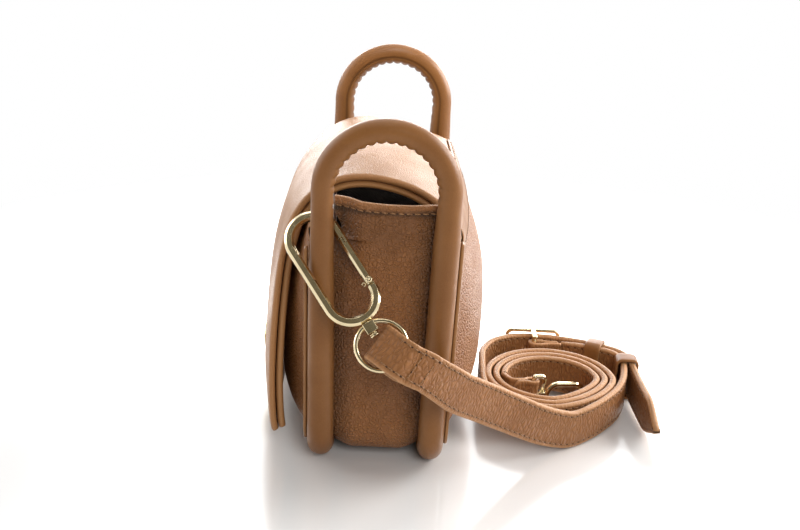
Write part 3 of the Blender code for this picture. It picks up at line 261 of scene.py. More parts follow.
soft_lamp("roof", (-0.62, 0.0, 1.00), (-0.02, 0.03, 0.08), (1.0, 1.3), 4.9)
soft_lamp("left_wall", (-0.30, -0.95, 0.50), (0.0, 0.0, 0.08), (0.9, 0.7), 7.5)
soft_lamp("right_wall", (-0.35, 0.95, 0.50), (0.0, 0.05, 0.08), (0.9, 0.7), 22.0)
soft_lamp("behind", (-1.30, 0.0, 0.32), (0.0, 0.0, 0.10), (1.6, 0.56), 23.0)
above_us = soft_lamp("above_us", (0.80, 0.22, 0.52), (0.05, 0.0, 0.05), (0.4, 0.4), 4.1)
above_us.visible_glossy = False
far_fill = soft_lamp("far_fill", (0.12, 0.0, 0.52), (-0.085, 0.0, 0.17), (0.3, 0.2), 0.17)
far_fill.data.spread = math.radians(44.0)

# %% [markdown]
# ## Leather
# The gusset and the panels are a pebbled hide: small round cells parted by fine creases.
# The flap's grain is pressed flatter, and the strap's is stretched along its length. The
# rolls and trims are a smooth hide with pores only. A Voronoi texture gives the cells, and
# noise bends them so that no two are alike. Two values painted on the meshes steer the
# colour: "worn" where an edge is rubbed pale and smooth, and "deep", a painted shade that
# darkens grooves, creases and folds, the gusset beside the rolls and the top of its near end.


# %% Leather finishes
def leather(name, crease, hide, worn, cell, depth, rough, stretch=None, shine=0.28):
    """Makes a leather: its crease, hide and worn colours, its cell size and its depth."""
    finish, tree, shader = new_finish(name)
    coords = add(tree, "TexCoord").outputs
    where = coords["Object"]
    if stretch:
        where = add(tree, "Mapping", {"Vector": coords["UV"], "Scale": stretch}).outputs[0]
    bend = add(tree, "TexNoise", {"Vector": where, "Scale": 0.45 / cell, "Detail": 1.0}).outputs["Color"]
    bent = add(tree, "VectorMath", {0: bend, 1: (cell * 1.1,) * 3, 2: where},
               operation="MULTIPLY_ADD").outputs[0]
    cells, small = (add(tree, "TexVoronoi", {"Vector": bent, "Scale": fine / cell}, feature=kind).outputs[0]
                    for fine, kind in ((1.0, "DISTANCE_TO_EDGE"), (2.3, "F1")))
    pebble = span(tree, cells, 0.0, 0.34, 0.0, 1.0)
    pores, blotch = noise_of(tree, where, 0.00028, 3.0), noise_of(tree, where, 0.021, 3.0)
    rubbed, painted_shade = (add(tree, "Attribute", attribute_name=key).outputs["Fac"] for key in ("worn", "deep"))
    tinted = blend_colour(tree, span(tree, pebble, 0.0, 1.0, 0.0, 1.0), crease, hide)
    dull = blend_colour(tree, 1.0, tinted, (0.86, 0.83, 0.80), "MULTIPLY")
    tinted = blend_colour(tree, span(tree, blotch, 0.3, 0.7, 0.0, 1.0), tinted, dull)
    tinted = blend_colour(tree, rubbed, tinted, worn)
    # Painted shade: "deep" darkens the leather towards a sixth of its hide colour.
    tinted = blend_colour(tree, painted_shade, tinted, tuple(0.16 * v for v in hide))
    grain = maths(tree, "MULTIPLY_ADD", pores, 0.30, maths(tree, "MULTIPLY_ADD", small, -0.35, pebble))
    kept = maths(tree, "MULTIPLY_ADD", rubbed, -0.85, 1.0)
    dress(tree, shader, tinted, span(tree, blotch, 0.2, 0.8, rough - 0.06, rough + 0.08),
          maths(tree, "MULTIPLY", grain, kept), depth)
    shader.inputs["Specular IOR Level"].default_value = shine
    return finish


FINISHES = {
    "pebbled": leather("pebbled_leather", (0.238, 0.093, 0.026), (0.284, 0.113, 0.033), (0.44, 0.23, 0.10),
                       0.00185, 0.00048, 0.46, shine=0.48),
    "flap": leather("flap_leather", (0.295, 0.138, 0.050), (0.350, 0.174, 0.066), (0.36, 0.17, 0.065),
                    0.00120, 0.00012, 0.42),
    "smooth": leather("smooth_leather", (0.205, 0.084, 0.023), (0.230, 0.095, 0.028), (0.38, 0.195, 0.080),
                      0.00070, 0.000022, 0.40),
    "strap": leather("strap_leather", (0.245, 0.102, 0.034), (0.288, 0.122, 0.042), (0.48, 0.25, 0.112),
                     0.00250, 0.00040, 0.46, stretch=(1.35, 0.62, 1.0)),
}
print("leathers:", sorted(FINISHES))


# %% Thread, its holes, and the dark lining
FINISHES["thread"] = patterned("waxed_thread", bands(900.0, 2.0),
                               ((0.16, 0.070, 0.024), (0.32, 0.160, 0.064)), (0.6, 0.45), 0.00008)
# The needle holes' dark colour is painted shade in the holes.
FINISHES["hole"] = patterned("needle_hole_shade", speckle(0.0004),
                             ((0.026, 0.010, 0.004), (0.060, 0.026, 0.011)), (0.8, 0.95), 0.0001)
FINISHES["lining"] = patterned("lining_cloth", bands(420.0, 1.0, "DIAGONAL"),
                               ((0.010, 0.007, 0.005), (0.024, 0.016, 0.011)), (0.82, 0.95), 0.00012,
                               dusty=(0.05, 0.035, 0.025))
print("finishes now:", len(FINISHES))

# %% [markdown]
# ## From points to leather
# Every leather piece starts as rows of points. A panel is a grid with a wall behind it
# and a rounded rim; a roll or a strap is a row of closed rings. Both are plain lists, so
# a bulge, a dent or a gather is one more term in a formula. Painted values travel with
# the points and become attributes that the leather's nodes read.


# %% Helpers for curves and tables
def lerp(a, b, t):
    """Gives the value a share t of the way from a to b."""
    return a + (b - a) * t


def ease(t):
    """Gives a share with soft ends, held between 0 and 1."""
    t = min(1.0, max(0.0, t))
    return t * t * (3.0 - 2.0 * t)


def hump(value, middle, width):
    """Gives a bell: 1 in the middle and almost 0 two widths away."""
    return math.exp(-((value - middle) / width) ** 2)


def read(table, share):
    """Reads a smooth curve through a table of (share, value) pairs."""
    k = min(max(bisect_right([s for s, v in table], share) - 1, 0), len(table) - 2)

    def slope(i):
        before, after = table[max(i - 1, 0)], table[min(i + 1, len(table) - 1)]
        return (after[1] - before[1]) / (after[0] - before[0])

    (s0, v0), (s1, v1) = table[k], table[k + 1]
    h = s1 - s0
    t = min(1.0, max(0.0, (share - s0) / h))
    return (v0 * (1 + 2 * t) * (1 - t) ** 2 + slope(k) * h * t * (1 - t) ** 2
            + v1 * t * t * (3 - 2 * t) + slope(k + 1) * h * t * t * (t - 1))


def through(points, per_span):
    """Reads a smooth curve that passes through the points."""
    made = []
    last = len(points) - 1
    for k in range(last):
        p0, p1, p2, p3 = (points[min(max(k + i, 0), last)] for i in (-1, 0, 1, 2))
        for step in range(per_span):
            t = step / per_span
            made.append(0.5 * (2 * p1 + (p2 - p0) * t + (2 * p0 - 5 * p1 + 4 * p2 - p3) * t ** 2
                               + (3 * p1 - p0 - 3 * p2 + p3) * t ** 3))
    made.append(points[-1].copy())
    return made


def arc(centre, radius, start, stop, steps):
    """Lists points (a, b) on an arc, with both ends in."""
    angles = [lerp(start, stop, k / steps) for k in range(steps + 1)]
    return [(centre[0] + radius * math.cos(a), centre[1] + radius * math.sin(a)) for a in angles]


def circle(radius, sides):
    """Lists points (a, b) round a circle."""
    turns = [2 * math.pi * k / sides for k in range(sides)]
    return [(radius * math.cos(t), radius * math.sin(t)) for t in turns]


print("half way along a smooth table:", round(read(((0, 0.0), (0.5, 0.9), (1, 1.0)), 0.5), 3))


# %% Helper that turns points and faces into a piece
def piece(name, points, faces, finish, body, nodes=(), paint=None, flat=None, marks=None, second=None):
    """Makes a piece of the bag that rides on a body and stands for frame nodes."""
    data = bpy.data.meshes.new(name)
    data.from_pydata([tuple(p) for p in points], [], faces)
    data.shade_smooth()
    for key, values in (paint or {}).items():
        data.attributes.new(key, "FLOAT", "POINT").data.foreach_set("value", values)
    if flat:
        layer = data.uv_layers.new(name="flat").data
        for loop in data.loops:
            layer[loop.index].uv = flat[loop.vertex_index]
    data.materials.append(FINISHES[finish])
    if second:
        data.materials.append(FINISHES[second])
        data.polygons.foreach_set("material_index", marks)
    made = put(name, data)
    if body:
        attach(made, body)
    if nodes:
        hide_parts(*nodes)
    return made


# %% Helpers for hides, tubes and ribbons
def normals_of(rows):
    """Gives the outward direction at each point of a grid."""
    found = []
    last_row = len(rows) - 1
    for i, row in enumerate(rows):
        last = len(row) - 1
        line = []
        for k in range(last + 1):
            along = row[min(k + 1, last)] - row[max(k - 1, 0)]
            down = rows[min(i + 1, last_row)][k] - rows[max(i - 1, 0)][k]
            line.append(down.cross(along).normalized())
        found.append(line)
    return found


def hide_sheet(name, rows, wall, finish, body, nodes, paint=None, inside=None, flip=False, rim=0.38, hem=0):
    """Makes a sheet with a wall and a rounded rim; its first and last hem rows are leather inside too."""
    outward = normals_of(rows)
    if flip:
        outward = [[-n for n in line] for line in outward]
    high, wide = len(rows), len(rows[0])
    points, tints = [], []
    values = paint or (lambda i, k: (0.0, 0.0))
    for depth in (0.0, 1.0):
        for i in range(high):
            for k in range(wide):
                pull = Vector()
                if i in (0, high - 1):
                    pull += (rows[1][k] - rows[0][k] if i == 0 else rows[-2][k] - rows[-1][k]).normalized()
                if k in (0, wide - 1):
                    pull += (rows[i][1] - rows[i][0] if k == 0 else rows[i][-2] - rows[i][-1]).normalized()
                points.append(rows[i][k] + pull * wall * rim - outward[i][k] * wall * depth)
                tints.append(values(i, k))
    front = lambda i, k: i * wide + k
    back = lambda i, k: high * wide + i * wide + k
    border = [(0, k) for k in range(wide)] + [(i, wide - 1) for i in range(1, high)]
    border += [(high - 1, k) for k in range(wide - 2, -1, -1)] + [(i, 0) for i in range(high - 2, 0, -1)]
    middle = {}
    for i, k in border:
        middle[(i, k)] = len(points)
        points.append(rows[i][k] - outward[i][k] * wall * 0.5)
        tints.append((max(0.75, values(i, k)[0]), values(i, k)[1]))
    faces, marks = [], []
    for i in range(high - 1):
        for k in range(wide - 1):
            faces.append((front(i, k), front(i + 1, k), front(i + 1, k + 1), front(i, k + 1)))
            faces.append((back(i, k), back(i, k + 1), back(i + 1, k + 1), back(i + 1, k)))
            marks += [0, 1 if inside and hem <= i < high - 1 - hem else 0]
    for a, b in zip(border, border[1:] + border[:1]):
        faces.append((front(*a), front(*b), middle[b], middle[a]))
        faces.append((middle[a], middle[b], back(*b), back(*a)))
        marks += [0, 0]
    if flip:
        faces = [face[::-1] for face in faces]
    shades = {"worn": [t[0] for t in tints], "deep": [t[1] for t in tints]}
    made = piece(name, points, faces, finish, body, nodes, shades, marks=marks, second=inside)
    step = made.modifiers.new("soft", "SUBSURF")
    step.levels = step.render_levels = 1
    return made


def ringed(name, rings, finish, body, nodes=(), paint=None, closed=False, flat=None):
    """Joins closed rings of points into a tube, capped unless it closes on itself."""
    count, around = len(rings), len(rings[0])
    faces = []
    for i in range(count if closed else count - 1):
        a, b = i * around, (i + 1) % count * around
        for k in range(around):
            n = (k + 1) % around
            faces.append((a + k, a + n, b + n, b + k))
    if not closed:
        faces.append(tuple(range(around))[::-1])
        faces.append(tuple((count - 1) * around + k for k in range(around)))
    return piece(name, [p for ring in rings for p in ring], faces, finish, body, nodes, paint, flat)


print("helpers for sheets and tubes are ready")


# %% Helper for rows of stitches
STITCH_PITCH = 0.0037
THREAD_RADIUS = 0.00038
SLANT = 0.10
# A stitch's outline: place along it and fullness
BEAD = ((-1.0, 0.15), (-0.72, 0.78), (0.0, 1.0), (0.72, 0.78), (1.0, 0.15))


def stitches(name, lines, body, pitch=STITCH_PITCH, thread=THREAD_RADIUS):
    """Sews along lines of (point, outward) pairs: thread on top, and between stitches a sunken dark blob,
    painted shade for the needle hole.
    """
    points, faces, marks = [], [], []

    def blob(centre, along, outward, half, thick, depth, mark):
        side = along.cross(outward).normalized()
        start = len(points)
        for at, full in BEAD:
            middle = centre + along * at * half + outward * depth * (1.0 - at * at)
            points.extend(middle + (side * a + outward * b * 0.8) * thick * full for a, b in circle(1.0, 6))
        for a in range(start, start + 24, 6):
            for k in range(6):
                n = (k + 1) % 6
                faces.append((a + k, a + n, a + 6 + n, a + 6 + k))
                marks.append(mark)

    for line in lines:
        left = pitch * 0.5
        for (p, n), (q, m) in zip(line, line[1:]):
            gap = (q - p).length
            while left <= gap:
                at, outward = p.lerp(q, left / gap), n.lerp(m, left / gap).normalized()
                along = (q - p).normalized()
                tilted = (along + along.cross(outward) * SLANT).normalized()
                blob(at, tilted, outward, pitch * 0.40, thread, thread * 0.55, 0)
                # The dark blob between stitches is painted shade in the needle hole.
                blob(at + along * pitch * 0.5, along, outward, pitch * 0.15, thread * 1.25, -thread * 0.40, 1)
                left += pitch
            left -= gap
    return piece(name, points, faces, "thread", body, marks=marks, second="hole")


print("a stitch every", STITCH_PITCH * 1000, "mm")

# %% [markdown]
# ## Rolls
# Each handle is one leather roll: it comes out from under the bag, climbs a corner,
# arches over and goes down again. The leather is wrapped round a soft cord and sewn along
# the inside, so there it gathers into small scallops on the arch, and on the bag's side a
# lap ends in a fine groove. A tube of rings shows all of that, because each ring may
# have its own outline; a curve with a bevel would stay perfectly round.

# %% Sizes of the frame that the leather follows
GAP = 0.0003
ARCH_X = 0.0925
ROLL_RADIUS = 0.00615
LEG_Y_TOP, LEG_Y_FOOT = 0.0286, 0.0266
ARCH_BASE_Z = 0.1385
ARCH_ROLL = 0.88
CORNER_RADIUS = 0.018
ROLL_Z = 0.00565
CORNER_X, CORNER_Z = 0.0745, 0.02365
SEAM_X = 0.0725


def roll_y(z):
    """Gives a leg's distance from the middle plane at height z."""
    return lerp(LEG_Y_FOOT, LEG_Y_TOP, min(1.0, max(0.0, (z - CORNER_Z) / (ARCH_BASE_Z - CORNER_Z))))


print("legs stand", 2 * LEG_Y_FOOT * 1000, "mm apart at the foot")


# %% Handles
SCALLOP_PITCH = 0.0051
SCALLOP_DEPTH = 0.00140
GROOVE_TURN = 0.28


def handle_path(end):
    """Follows a handle: (point, inward way, size, share of gathers)."""
    half = []
    for k in range(4):
        half.append((Vector((end * lerp(SEAM_X + GAP / 2, CORNER_X, k / 3), -LEG_Y_FOOT, ROLL_Z)), 1.0, 0.0))
    for x, z in arc((CORNER_X, CORNER_Z), CORNER_RADIUS, -math.pi / 2, 0.0, 14)[1:]:
        half.append((Vector((end * x, -LEG_Y_FOOT, z)), 1.0, 0.0))
    steps = 64
    for k in range(1, steps):
        z = lerp(CORNER_Z, ARCH_BASE_Z, k / steps)
        near_top = ease((z - 0.113) / (ARCH_BASE_Z - 0.113))
        half.append((Vector((end * ARCH_X, -roll_y(z), z)), lerp(1.0, ARCH_ROLL, near_top),
                     ease((z - 0.118) / 0.02) * 0.6))
    inward = Vector((0.0, 1.0, 0.0))
    path = [(p, inward, size, gathers) for p, size, gathers in half]
    for k in range(145):
        angle = math.pi * (1.0 - k / 144)
        way = Vector((0.0, math.cos(angle), math.sin(angle)))
        path.append((Vector((end * ARCH_X, 0.0, ARCH_BASE_Z)) + way * LEG_Y_TOP, -way, ARCH_ROLL,
                     0.6 + 0.4 * math.sin(angle)))
    path += [(Vector((p.x, -p.y, p.z)), -inward, size, gathers) for p, size, gathers in reversed(half)]
    return path


def make_handle(name, end):
    """Makes one handle with its gathers, its lap and its groove."""
    path = handle_path(end)
    rings, worn, deep = [], [], []
    gone = 0.0
    for i, (p, inward, size, gathers) in enumerate(path):
        step = path[min(i + 1, len(path) - 1)][0] - path[max(i - 1, 0)][0]
        if i:
            gone += (p - path[i - 1][0]).length
        along = step.normalized()
        bagward = along.cross(inward) * -1.0
        if bagward.x * end > 0.3 or (abs(bagward.x) <= 0.3 and bagward.z < 0.0):
            bagward = -bagward
        ring = []
        beat = abs(math.sin(math.pi * gone / SCALLOP_PITCH))
        for k in range(56):
            turn = 2 * math.pi * k / 56
            to_inner = abs((turn - math.pi / 2 + math.pi) % (2 * math.pi) - math.pi)
            gather = gathers * hump(to_inner, 0.0, 0.62)
            radius = ROLL_RADIUS * size + SCALLOP_DEPTH * gather * (beat ** 0.55 - 0.80)
            groove = hump(turn, GROOVE_TURN, 0.085)
            lap = 0.00016 * ease((turn - GROOVE_TURN) / 0.12) * ease((2.1 - turn) / 0.8)
            radius += lap - 0.00042 * groove
            if end > 0.0 and p.y < 0.0:
                # The clip presses this leg in a little
                radius -= 0.0008 * hump(p.z, 0.116, 0.024)
            radius += 0.00012 * noise.noise(p * 90.0 + Vector((turn, end, 0.0)))
            spot_at = p + (bagward * math.cos(turn) + inward * math.sin(turn)) * radius
            spot_at.z = max(spot_at.z, 0.0001)
            ring.append(spot_at)
            worn.append(0.16 * hump(to_inner, 0.7, 0.45) + 0.10 * hump(to_inner, math.pi, 0.6))
            # Painted shade, darker in the groove and in the creases between the gathers.
            deep.append(min(1.0, 0.85 * groove + 0.75 * gather * hump(beat, 0.0, 0.28)))
        rings.append(ring)
    made = ringed(name + "_leather", rings, "smooth", "bag", [name], {"worn": worn, "deep": deep})
    print(name, "is", round(gone * 1000), "mm long, with",
          round(math.pi * LEG_Y_TOP / SCALLOP_PITCH), "gathers")


for name, end in (("near_handle", 1.0), ("far_handle", -1.0)):
    make_handle(name, end)

# %% Rolls along the bottom edges
for name, side in (("front_roll", -1.0), ("back_roll", 1.0)):
    rings, worn, deep = [], [], []
    reach = SEAM_X - GAP / 2
    for i in range(59):
        x = lerp(-reach, reach, i / 58)
        ring = []
        for k in range(40):
            turn = 2 * math.pi * k / 40
            groove = hump(turn, 2.0, 0.12)
            radius = ROLL_RADIUS - 0.0004 * groove + 0.0001 * noise.noise(Vector((x * 90.0, turn, side)))
            ring.append(Vector((x, side * (LEG_Y_FOOT + radius * math.cos(turn)),
                                max(0.0001, ROLL_Z + radius * math.sin(turn)))))
            worn.append(0.25 * hump(turn, 3 * math.pi / 2, 0.5))
            # Painted shade, darker in the groove.
            deep.append(0.7 * groove)
        rings.append(ring if side > 0 else ring[::-1])
    made = ringed(name + "_leather", rings, "smooth", "bag", [name], {"worn": worn, "deep": deep})
print("bottom rolls:", 2 * SEAM_X * 1000, "mm long")

# %% [markdown]
# ## Gusset
# One strip of pebbled hide runs down the near end, under the bag and up the far end. Its
# top edge is folded over and sewn, which gives a plump band with a row of stitches below
# it. It swells softly between the legs, and on the near end the clip presses a dent into
# it. The inside is dark cloth.

# %% Shape of the gusset
GUSSET_WALL = 0.0022
GUSSET_TOP_Z, FAR_TOP_Z = 0.1330, 0.1215
GUSSET_RADIAL = CORNER_RADIUS - ROLL_RADIUS - GAP
GUSSET_EDGE_OUT = 0.0042
END_CROWN = 0.0036
FLOOR_CROWN = CORNER_Z - GUSSET_RADIAL
CORNER_LIFT = 0.0038
HEM_BAND = 0.0043
# The clip's dent: how deep, where it begins, over what width, and its shares by height
DENT_DEPTH, DENT_Y, DENT_SLOPE = 0.0056, -0.0100, 0.0095
DENT = ((0.0, 0.0), (0.70, 0.0), (0.79, 0.5), (0.835, 1.0), (0.90, 1.0), (1.0, 0.4))
# The clip's notch in the hide, and the panels' edge above it
NOTCH_Z, NOTCH_Y, NOTCH_X = 0.1130, 0.0206, 0.0783


def gusset_rise(y, centre_y, crown):
    """Gives how far the gusset stands out at y, clear of the roll beside it."""
    reach = ROLL_RADIUS + GAP
    near = abs(y)
    if near >= centre_y:
        return 0.0
    full = crown * min(1.0, 1.25 * (1.0 - (near / centre_y) ** 2))
    if near <= centre_y - reach:
        return full
    return min(full, reach - math.sqrt(reach ** 2 - (centre_y - near) ** 2))


def end_walk(top, steps):
    """Walks down one end and along half the bottom: (x, z, outward x, outward z)."""
    half = [(CORNER_X, lerp(top, CORNER_Z, k / steps), 1.0, 0.0) for k in range(steps)]
    for k in range(13):
        angle = math.pi / 2 * k / 12
        half.append((CORNER_X, CORNER_Z, math.cos(angle), -math.sin(angle)))
    return half + [(lerp(CORNER_X, 0.0, k / 14), CORNER_Z, 0.0, -1.0) for k in range(1, 14)]


def round_the_bag(top, far_top, steps):
    """Walks down the near end, under the bag and up the far end."""
    far = [(-x, z, -nx, nz) for x, z, nx, nz in reversed(end_walk(far_top, steps))]
    return end_walk(top, steps) + [(0.0, CORNER_Z, 0.0, -1.0)] + far


def soft_wave(point, size, height):
    """Gives the slow unevenness of a real hide."""
    return height * noise.noise(point / size)


def gusset_point(x, z, out_x, out_z, y):
    """Gives the gusset's outer face at one station of the walk."""
    centre_y = roll_y(z)
    top = GUSSET_TOP_Z if x > 0.0 else FAR_TOP_Z
    raised = max(0.0, 3.0 * (abs(x) / CORNER_X - 1.0) + 1.0)
    crown = lerp(END_CROWN, FLOOR_CROWN - CORNER_LIFT * raised, -out_z)
    radial = GUSSET_RADIAL + gusset_rise(y, centre_y, crown)
    if out_x > 0.99:
        radial -= DENT_DEPTH * read(DENT, z / GUSSET_TOP_Z) * ease((DENT_Y - y) / DENT_SLOPE) ** 0.8
        radial -= 0.0009 * hump(z, 0.118, 0.010) * ease((-0.013 - y) / 0.005)
    middle = max(0.0, 1.0 - (y / (centre_y - ROLL_RADIUS)) ** 2)
    if abs(out_x) > 0.99:
        wave = soft_wave(Vector((x, y, z)), 0.017, 0.0012) + soft_wave(Vector((y, z, x)), 0.006, 0.00022)
        fold = z - top + HEM_BAND
        radial += wave * middle
        radial += 0.0005 * ease((fold + 0.0004) / 0.0010) - 0.0006 * hump(fold, -0.0009, 0.0009) * middle
    dip = 0.001
    if x > 0.0:
        dip = 0.0018 * ease((y + 0.024) / 0.026) - 0.0006 * ease((y - 0.006) / 0.016) - 0.0014
    dip *= ease((z - top + 0.013) / 0.013)
    return Vector((x + out_x * radial, y, z + out_z * radial - dip))


print("dent beside the clip:", round(DENT_DEPTH * 1000, 1), "mm deep")


# %% Gusset
def gusset_row(x, z, out_x, out_z):
    """Lays out the gusset from edge to edge at one station, with the clip's notch."""
    edge = roll_y(z) + GUSSET_EDGE_OUT
    low = -edge
    if z > NOTCH_Z and out_z == 0.0:
        notch = -NOTCH_Y - 0.0020 * ease((z - 0.1190) / 0.0045) - 0.0014 * ease((z - 0.1235) / 0.0012)
        low = lerp(low, notch, ease((z - NOTCH_Z) / 0.0012))
    return [gusset_point(x, z, out_x, out_z, lerp(low, edge, k / 52)) for k in range(53)]


gusset_rows = [gusset_row(*station) for station in round_the_bag(GUSSET_TOP_Z, FAR_TOP_Z, 88)]


def gusset_tint(i, k):
    """Paints the hem's rubbed edge, and painted shade under the hem's lap, in the fold by the clip's notch,
    beside the rolls and towards the top of the near end.
    """
    p = gusset_rows[i][k]
    top = GUSSET_TOP_Z if p.x > 0.0 else FAR_TOP_Z
    hem = ease((p.z - top + 0.004) / 0.003)
    # Painted shade under the hem's lap, along the stitch line.
    lap = hump(p.z, top - HEM_BAND - 0.0004, 0.0013)
    # Painted shade, darker towards the top of the near end.
    shade = 0.34 * ease((p.z - top + 0.034) / 0.022) if p.x > 0.0 and p.z < top - HEM_BAND else 0.0
    # Painted shade in the fold by the clip's notch.
    painted_tuck_shade = 0.0
    if p.x > 0.0 and NOTCH_Z < p.z < 0.1268:
        painted_tuck_shade = 0.8 * hump(p.y, lerp(-0.0218, -0.0186, (p.z - NOTCH_Z) / 0.0138), 0.0007)
    # Painted shade on the gusset beside the rolls.
    side = 0.60 * ease((abs(p.y) - 0.0080) / 0.0125) if abs(p.x) > CORNER_X and p.z > 0.01 else 0.0
    return (0.12 * hem, min(1.0, 0.62 * lap + painted_tuck_shade + max(side * (1.0 - hem), shade)))


hide_sheet("gusset_hide", gusset_rows, GUSSET_WALL, "pebbled", "bag", ["gusset"], gusset_tint,
           inside="lining", hem=10)
hems = [[(gusset_point(end * CORNER_X, top - HEM_BAND, end, 0.0, lerp(-0.0232, 0.0235, k / 40)),
          Vector((end, 0.0, 0.0))) for k in range(41)]
        for end, top in ((1.0, GUSSET_TOP_Z), (-1.0, FAR_TOP_Z))]
stitches("gusset_hem_stitches", hems, "bag")
sewn = sum((q - p).length for (p, n), (q, m) in zip(hems[0], hems[0][1:]))
print("gusset sewn along", round(sewn * 1000), "mm")

# %% [markdown]
# ## Front and back panels, and their trims
# The panels are full, as if the bag held something. A grid with a bulge table gives that
# fullness, and slow noise keeps the hide from looking moulded. A flat strip of smooth
# leather binds each panel where it meets the rolls.

# %% Panels
PANEL_WALL = 0.0022
PANEL_OUT = 0.0068
PANEL_RADIAL = 0.0105
PANEL_BOTTOM_Z = CORNER_Z - PANEL_RADIAL
FRONT_TOP_Z, BACK_TOP_Z = 0.1168, 0.114
FRONT_BULGE, BACK_BULGE = 0.0170, 0.0190
FRONT_FULL = ((0.0, 0.0), (0.035, 0.60), (0.08, 0.89), (0.15, 1.0), (0.26, 1.0), (0.42, 1.0),
              (0.64, 0.88), (0.84, 0.53), (1.0, 0.08))
BACK_FULL = ((0.0, 0.0), (0.035, 0.45), (0.08, 0.76), (0.16, 0.93), (0.3, 1.0), (0.5, 0.98),
             (0.68, 0.86), (0.85, 0.58), (1.0, 0.20))


def panel_point(side, top_z, bulge, full, share, across):
    """Gives a panel's outer face at a height share and a share across."""
    z = lerp(PANEL_BOTTOM_Z, top_z, share)
    reach = PANEL_RADIAL
    if z < CORNER_Z:
        reach = math.sqrt(max(0.0, PANEL_RADIAL ** 2 - (CORNER_Z - z) ** 2))
    out = bulge * read(full, share) * (1.0 - abs(across) ** (3.2 if side < 0.0 else 2.2))
    p = Vector((across * (CORNER_X + reach), side * (roll_y(z) + PANEL_OUT + out), z))
    edge = ease((1.0 - abs(across)) / 0.2) * ease(share / 0.1) * ease((1.0 - share) / 0.15)
    p.y += side * soft_wave(p, 0.028, 0.0006) * edge
    return p


def make_panel(name, side, top_z, bulge, full):
    """Makes one panel, lined with dark cloth."""
    shares = [(k / 46) ** 1.35 for k in range(47)]
    rows = [[panel_point(side, top_z, bulge, full, share, -1.0 + k / 28) for k in range(57)]
            for share in shares]
    if side < 0.0:
        for p in (p for row in rows for p in row if p.z > NOTCH_Z - 0.0004):
            p.x = math.copysign(min(abs(p.x), NOTCH_X), p.x)

    def tint(i, k):
        top = ease((shares[i] - 0.97) / 0.02)
        # The second value is painted shade: a thin darker line 4.5 mm below the panel's top.
        return (0.2 * top, 0.25 * hump(top_z - rows[i][k].z, 0.0045, 0.0006))

    hide_sheet(name + "_hide", rows, PANEL_WALL, "pebbled", "bag", [name], tint, inside="lining",
               flip=side < 0)


make_panel("front_panel", -1.0, FRONT_TOP_Z, FRONT_BULGE, FRONT_FULL)
make_panel("back_panel", 1.0, BACK_TOP_Z, BACK_BULGE, BACK_FULL)
fullest = 2 * (LEG_Y_FOOT + PANEL_OUT) + FRONT_BULGE + BACK_BULGE
print("bag is", round(fullest * 1000), "mm deep over its two panels")


# %% Trims along the rolls
TRIM_WALL, TRIM_WIDTH = 0.0016, 0.0054
for name, side, top_z in (("front_trim", -1.0, 0.1105), ("back_trim", 1.0, 0.1160)):
    rows = []
    for x, z, out_x, out_z in round_the_bag(top_z, top_z, 40):
        y = side * (roll_y(z) + ROLL_RADIUS + GAP + TRIM_WALL)
        row = []
        for k in range(9):
            radial = PANEL_RADIAL + 0.0006 + TRIM_WIDTH * k / 8
            bow = 0.0003 * (1.0 - (k / 4 - 1.0) ** 2)
            row.append(Vector((x + out_x * radial, y + side * bow, z + out_z * radial)))
        rows.append(row)
    hide_sheet(name + "_leather", rows, TRIM_WALL, "smooth", "bag", [name],
               lambda i, k: (0.45 if k in (0, 8) else 0.15, 0.0), flip=side > 0, rim=0.30)
print("trims are", TRIM_WIDTH * 1000, "mm wide")

# %% [markdown]
# ## Flap
# The flap is two layers, the hide and its smooth lining, each with a turned, rounded
# edge. Seen from the end they make two lobes with a dark line between. It springs from
# the back panel's top, where both layers bend. A sewn band covers the joint outside.

# %% Shape of the flap
FLAP_WALL, LINING_WALL = 0.0033, 0.0035
FLAP_REACH, FLAP_TOP_Z = 0.0525, 0.1372
FLAP_HALF_WIDTH, FLAP_CROWN = 0.0840, 0.0085
# Depth, height, width and crown, each a share of the flap's own size
FLAP_ROWS = (
    (0.676, 0.8332, 0.988, 0.38), (0.640, 0.870, 0.955, 0.34), (0.560, 0.906, 0.860, 0.29),
    (0.425, 0.938, 0.765, 0.25), (0.212, 0.972, 0.722, 0.24), (-0.048, 0.996, 0.720, 0.26),
    (-0.286, 1.000, 0.727, 0.31), (-0.495, 0.980, 0.738, 0.38), (-0.695, 0.931, 0.756, 0.47),
    (-0.825, 0.867, 0.780, 0.55), (-0.895, 0.798, 0.804, 0.62), (-0.950, 0.692, 0.840, 0.73),
    (-0.981, 0.561, 0.881, 0.85), (-0.998, 0.408, 0.929, 0.94), (-0.998, 0.262, 0.970, 1.0),
    (-0.979, 0.142, 0.994, 1.0), (-0.962, 0.090, 0.985, 1.0), (-0.953, 0.070, 0.945, 0.99))
FLAP_COLUMNS = 44


def flap_rows(inset):
    """Lays out the flap's outer face, from the hinge over the top and down the front."""
    line = through([Vector(row) for row in FLAP_ROWS], 6)
    rows = []
    last = len(line) - 1
    for i, (depth, height, width, crown) in enumerate(line):
        behind, ahead = line[max(i - 1, 0)], line[min(i + 1, last)]
        run = Vector((0.0, (ahead[0] - behind[0]) * FLAP_REACH, (ahead[1] - behind[1]) * FLAP_TOP_Z))
        outward = Vector((0.0, run.z, -run.y)).normalized()
        half = width * FLAP_HALF_WIDTH - inset
        row = []
        for k in range(FLAP_COLUMNS + 1):
            across = -1.0 + 2.0 * k / FLAP_COLUMNS
            p = Vector((across * half, depth * FLAP_REACH, height * FLAP_TOP_Z))
            full = crown * FLAP_CROWN * (1.0 - across ** 2)
            full += soft_wave(p, 0.030, 0.0005) * (1.0 - across ** 4) * ease(i / 12)
            row.append(p + outward * full)
        rows.append(row)
    return rows


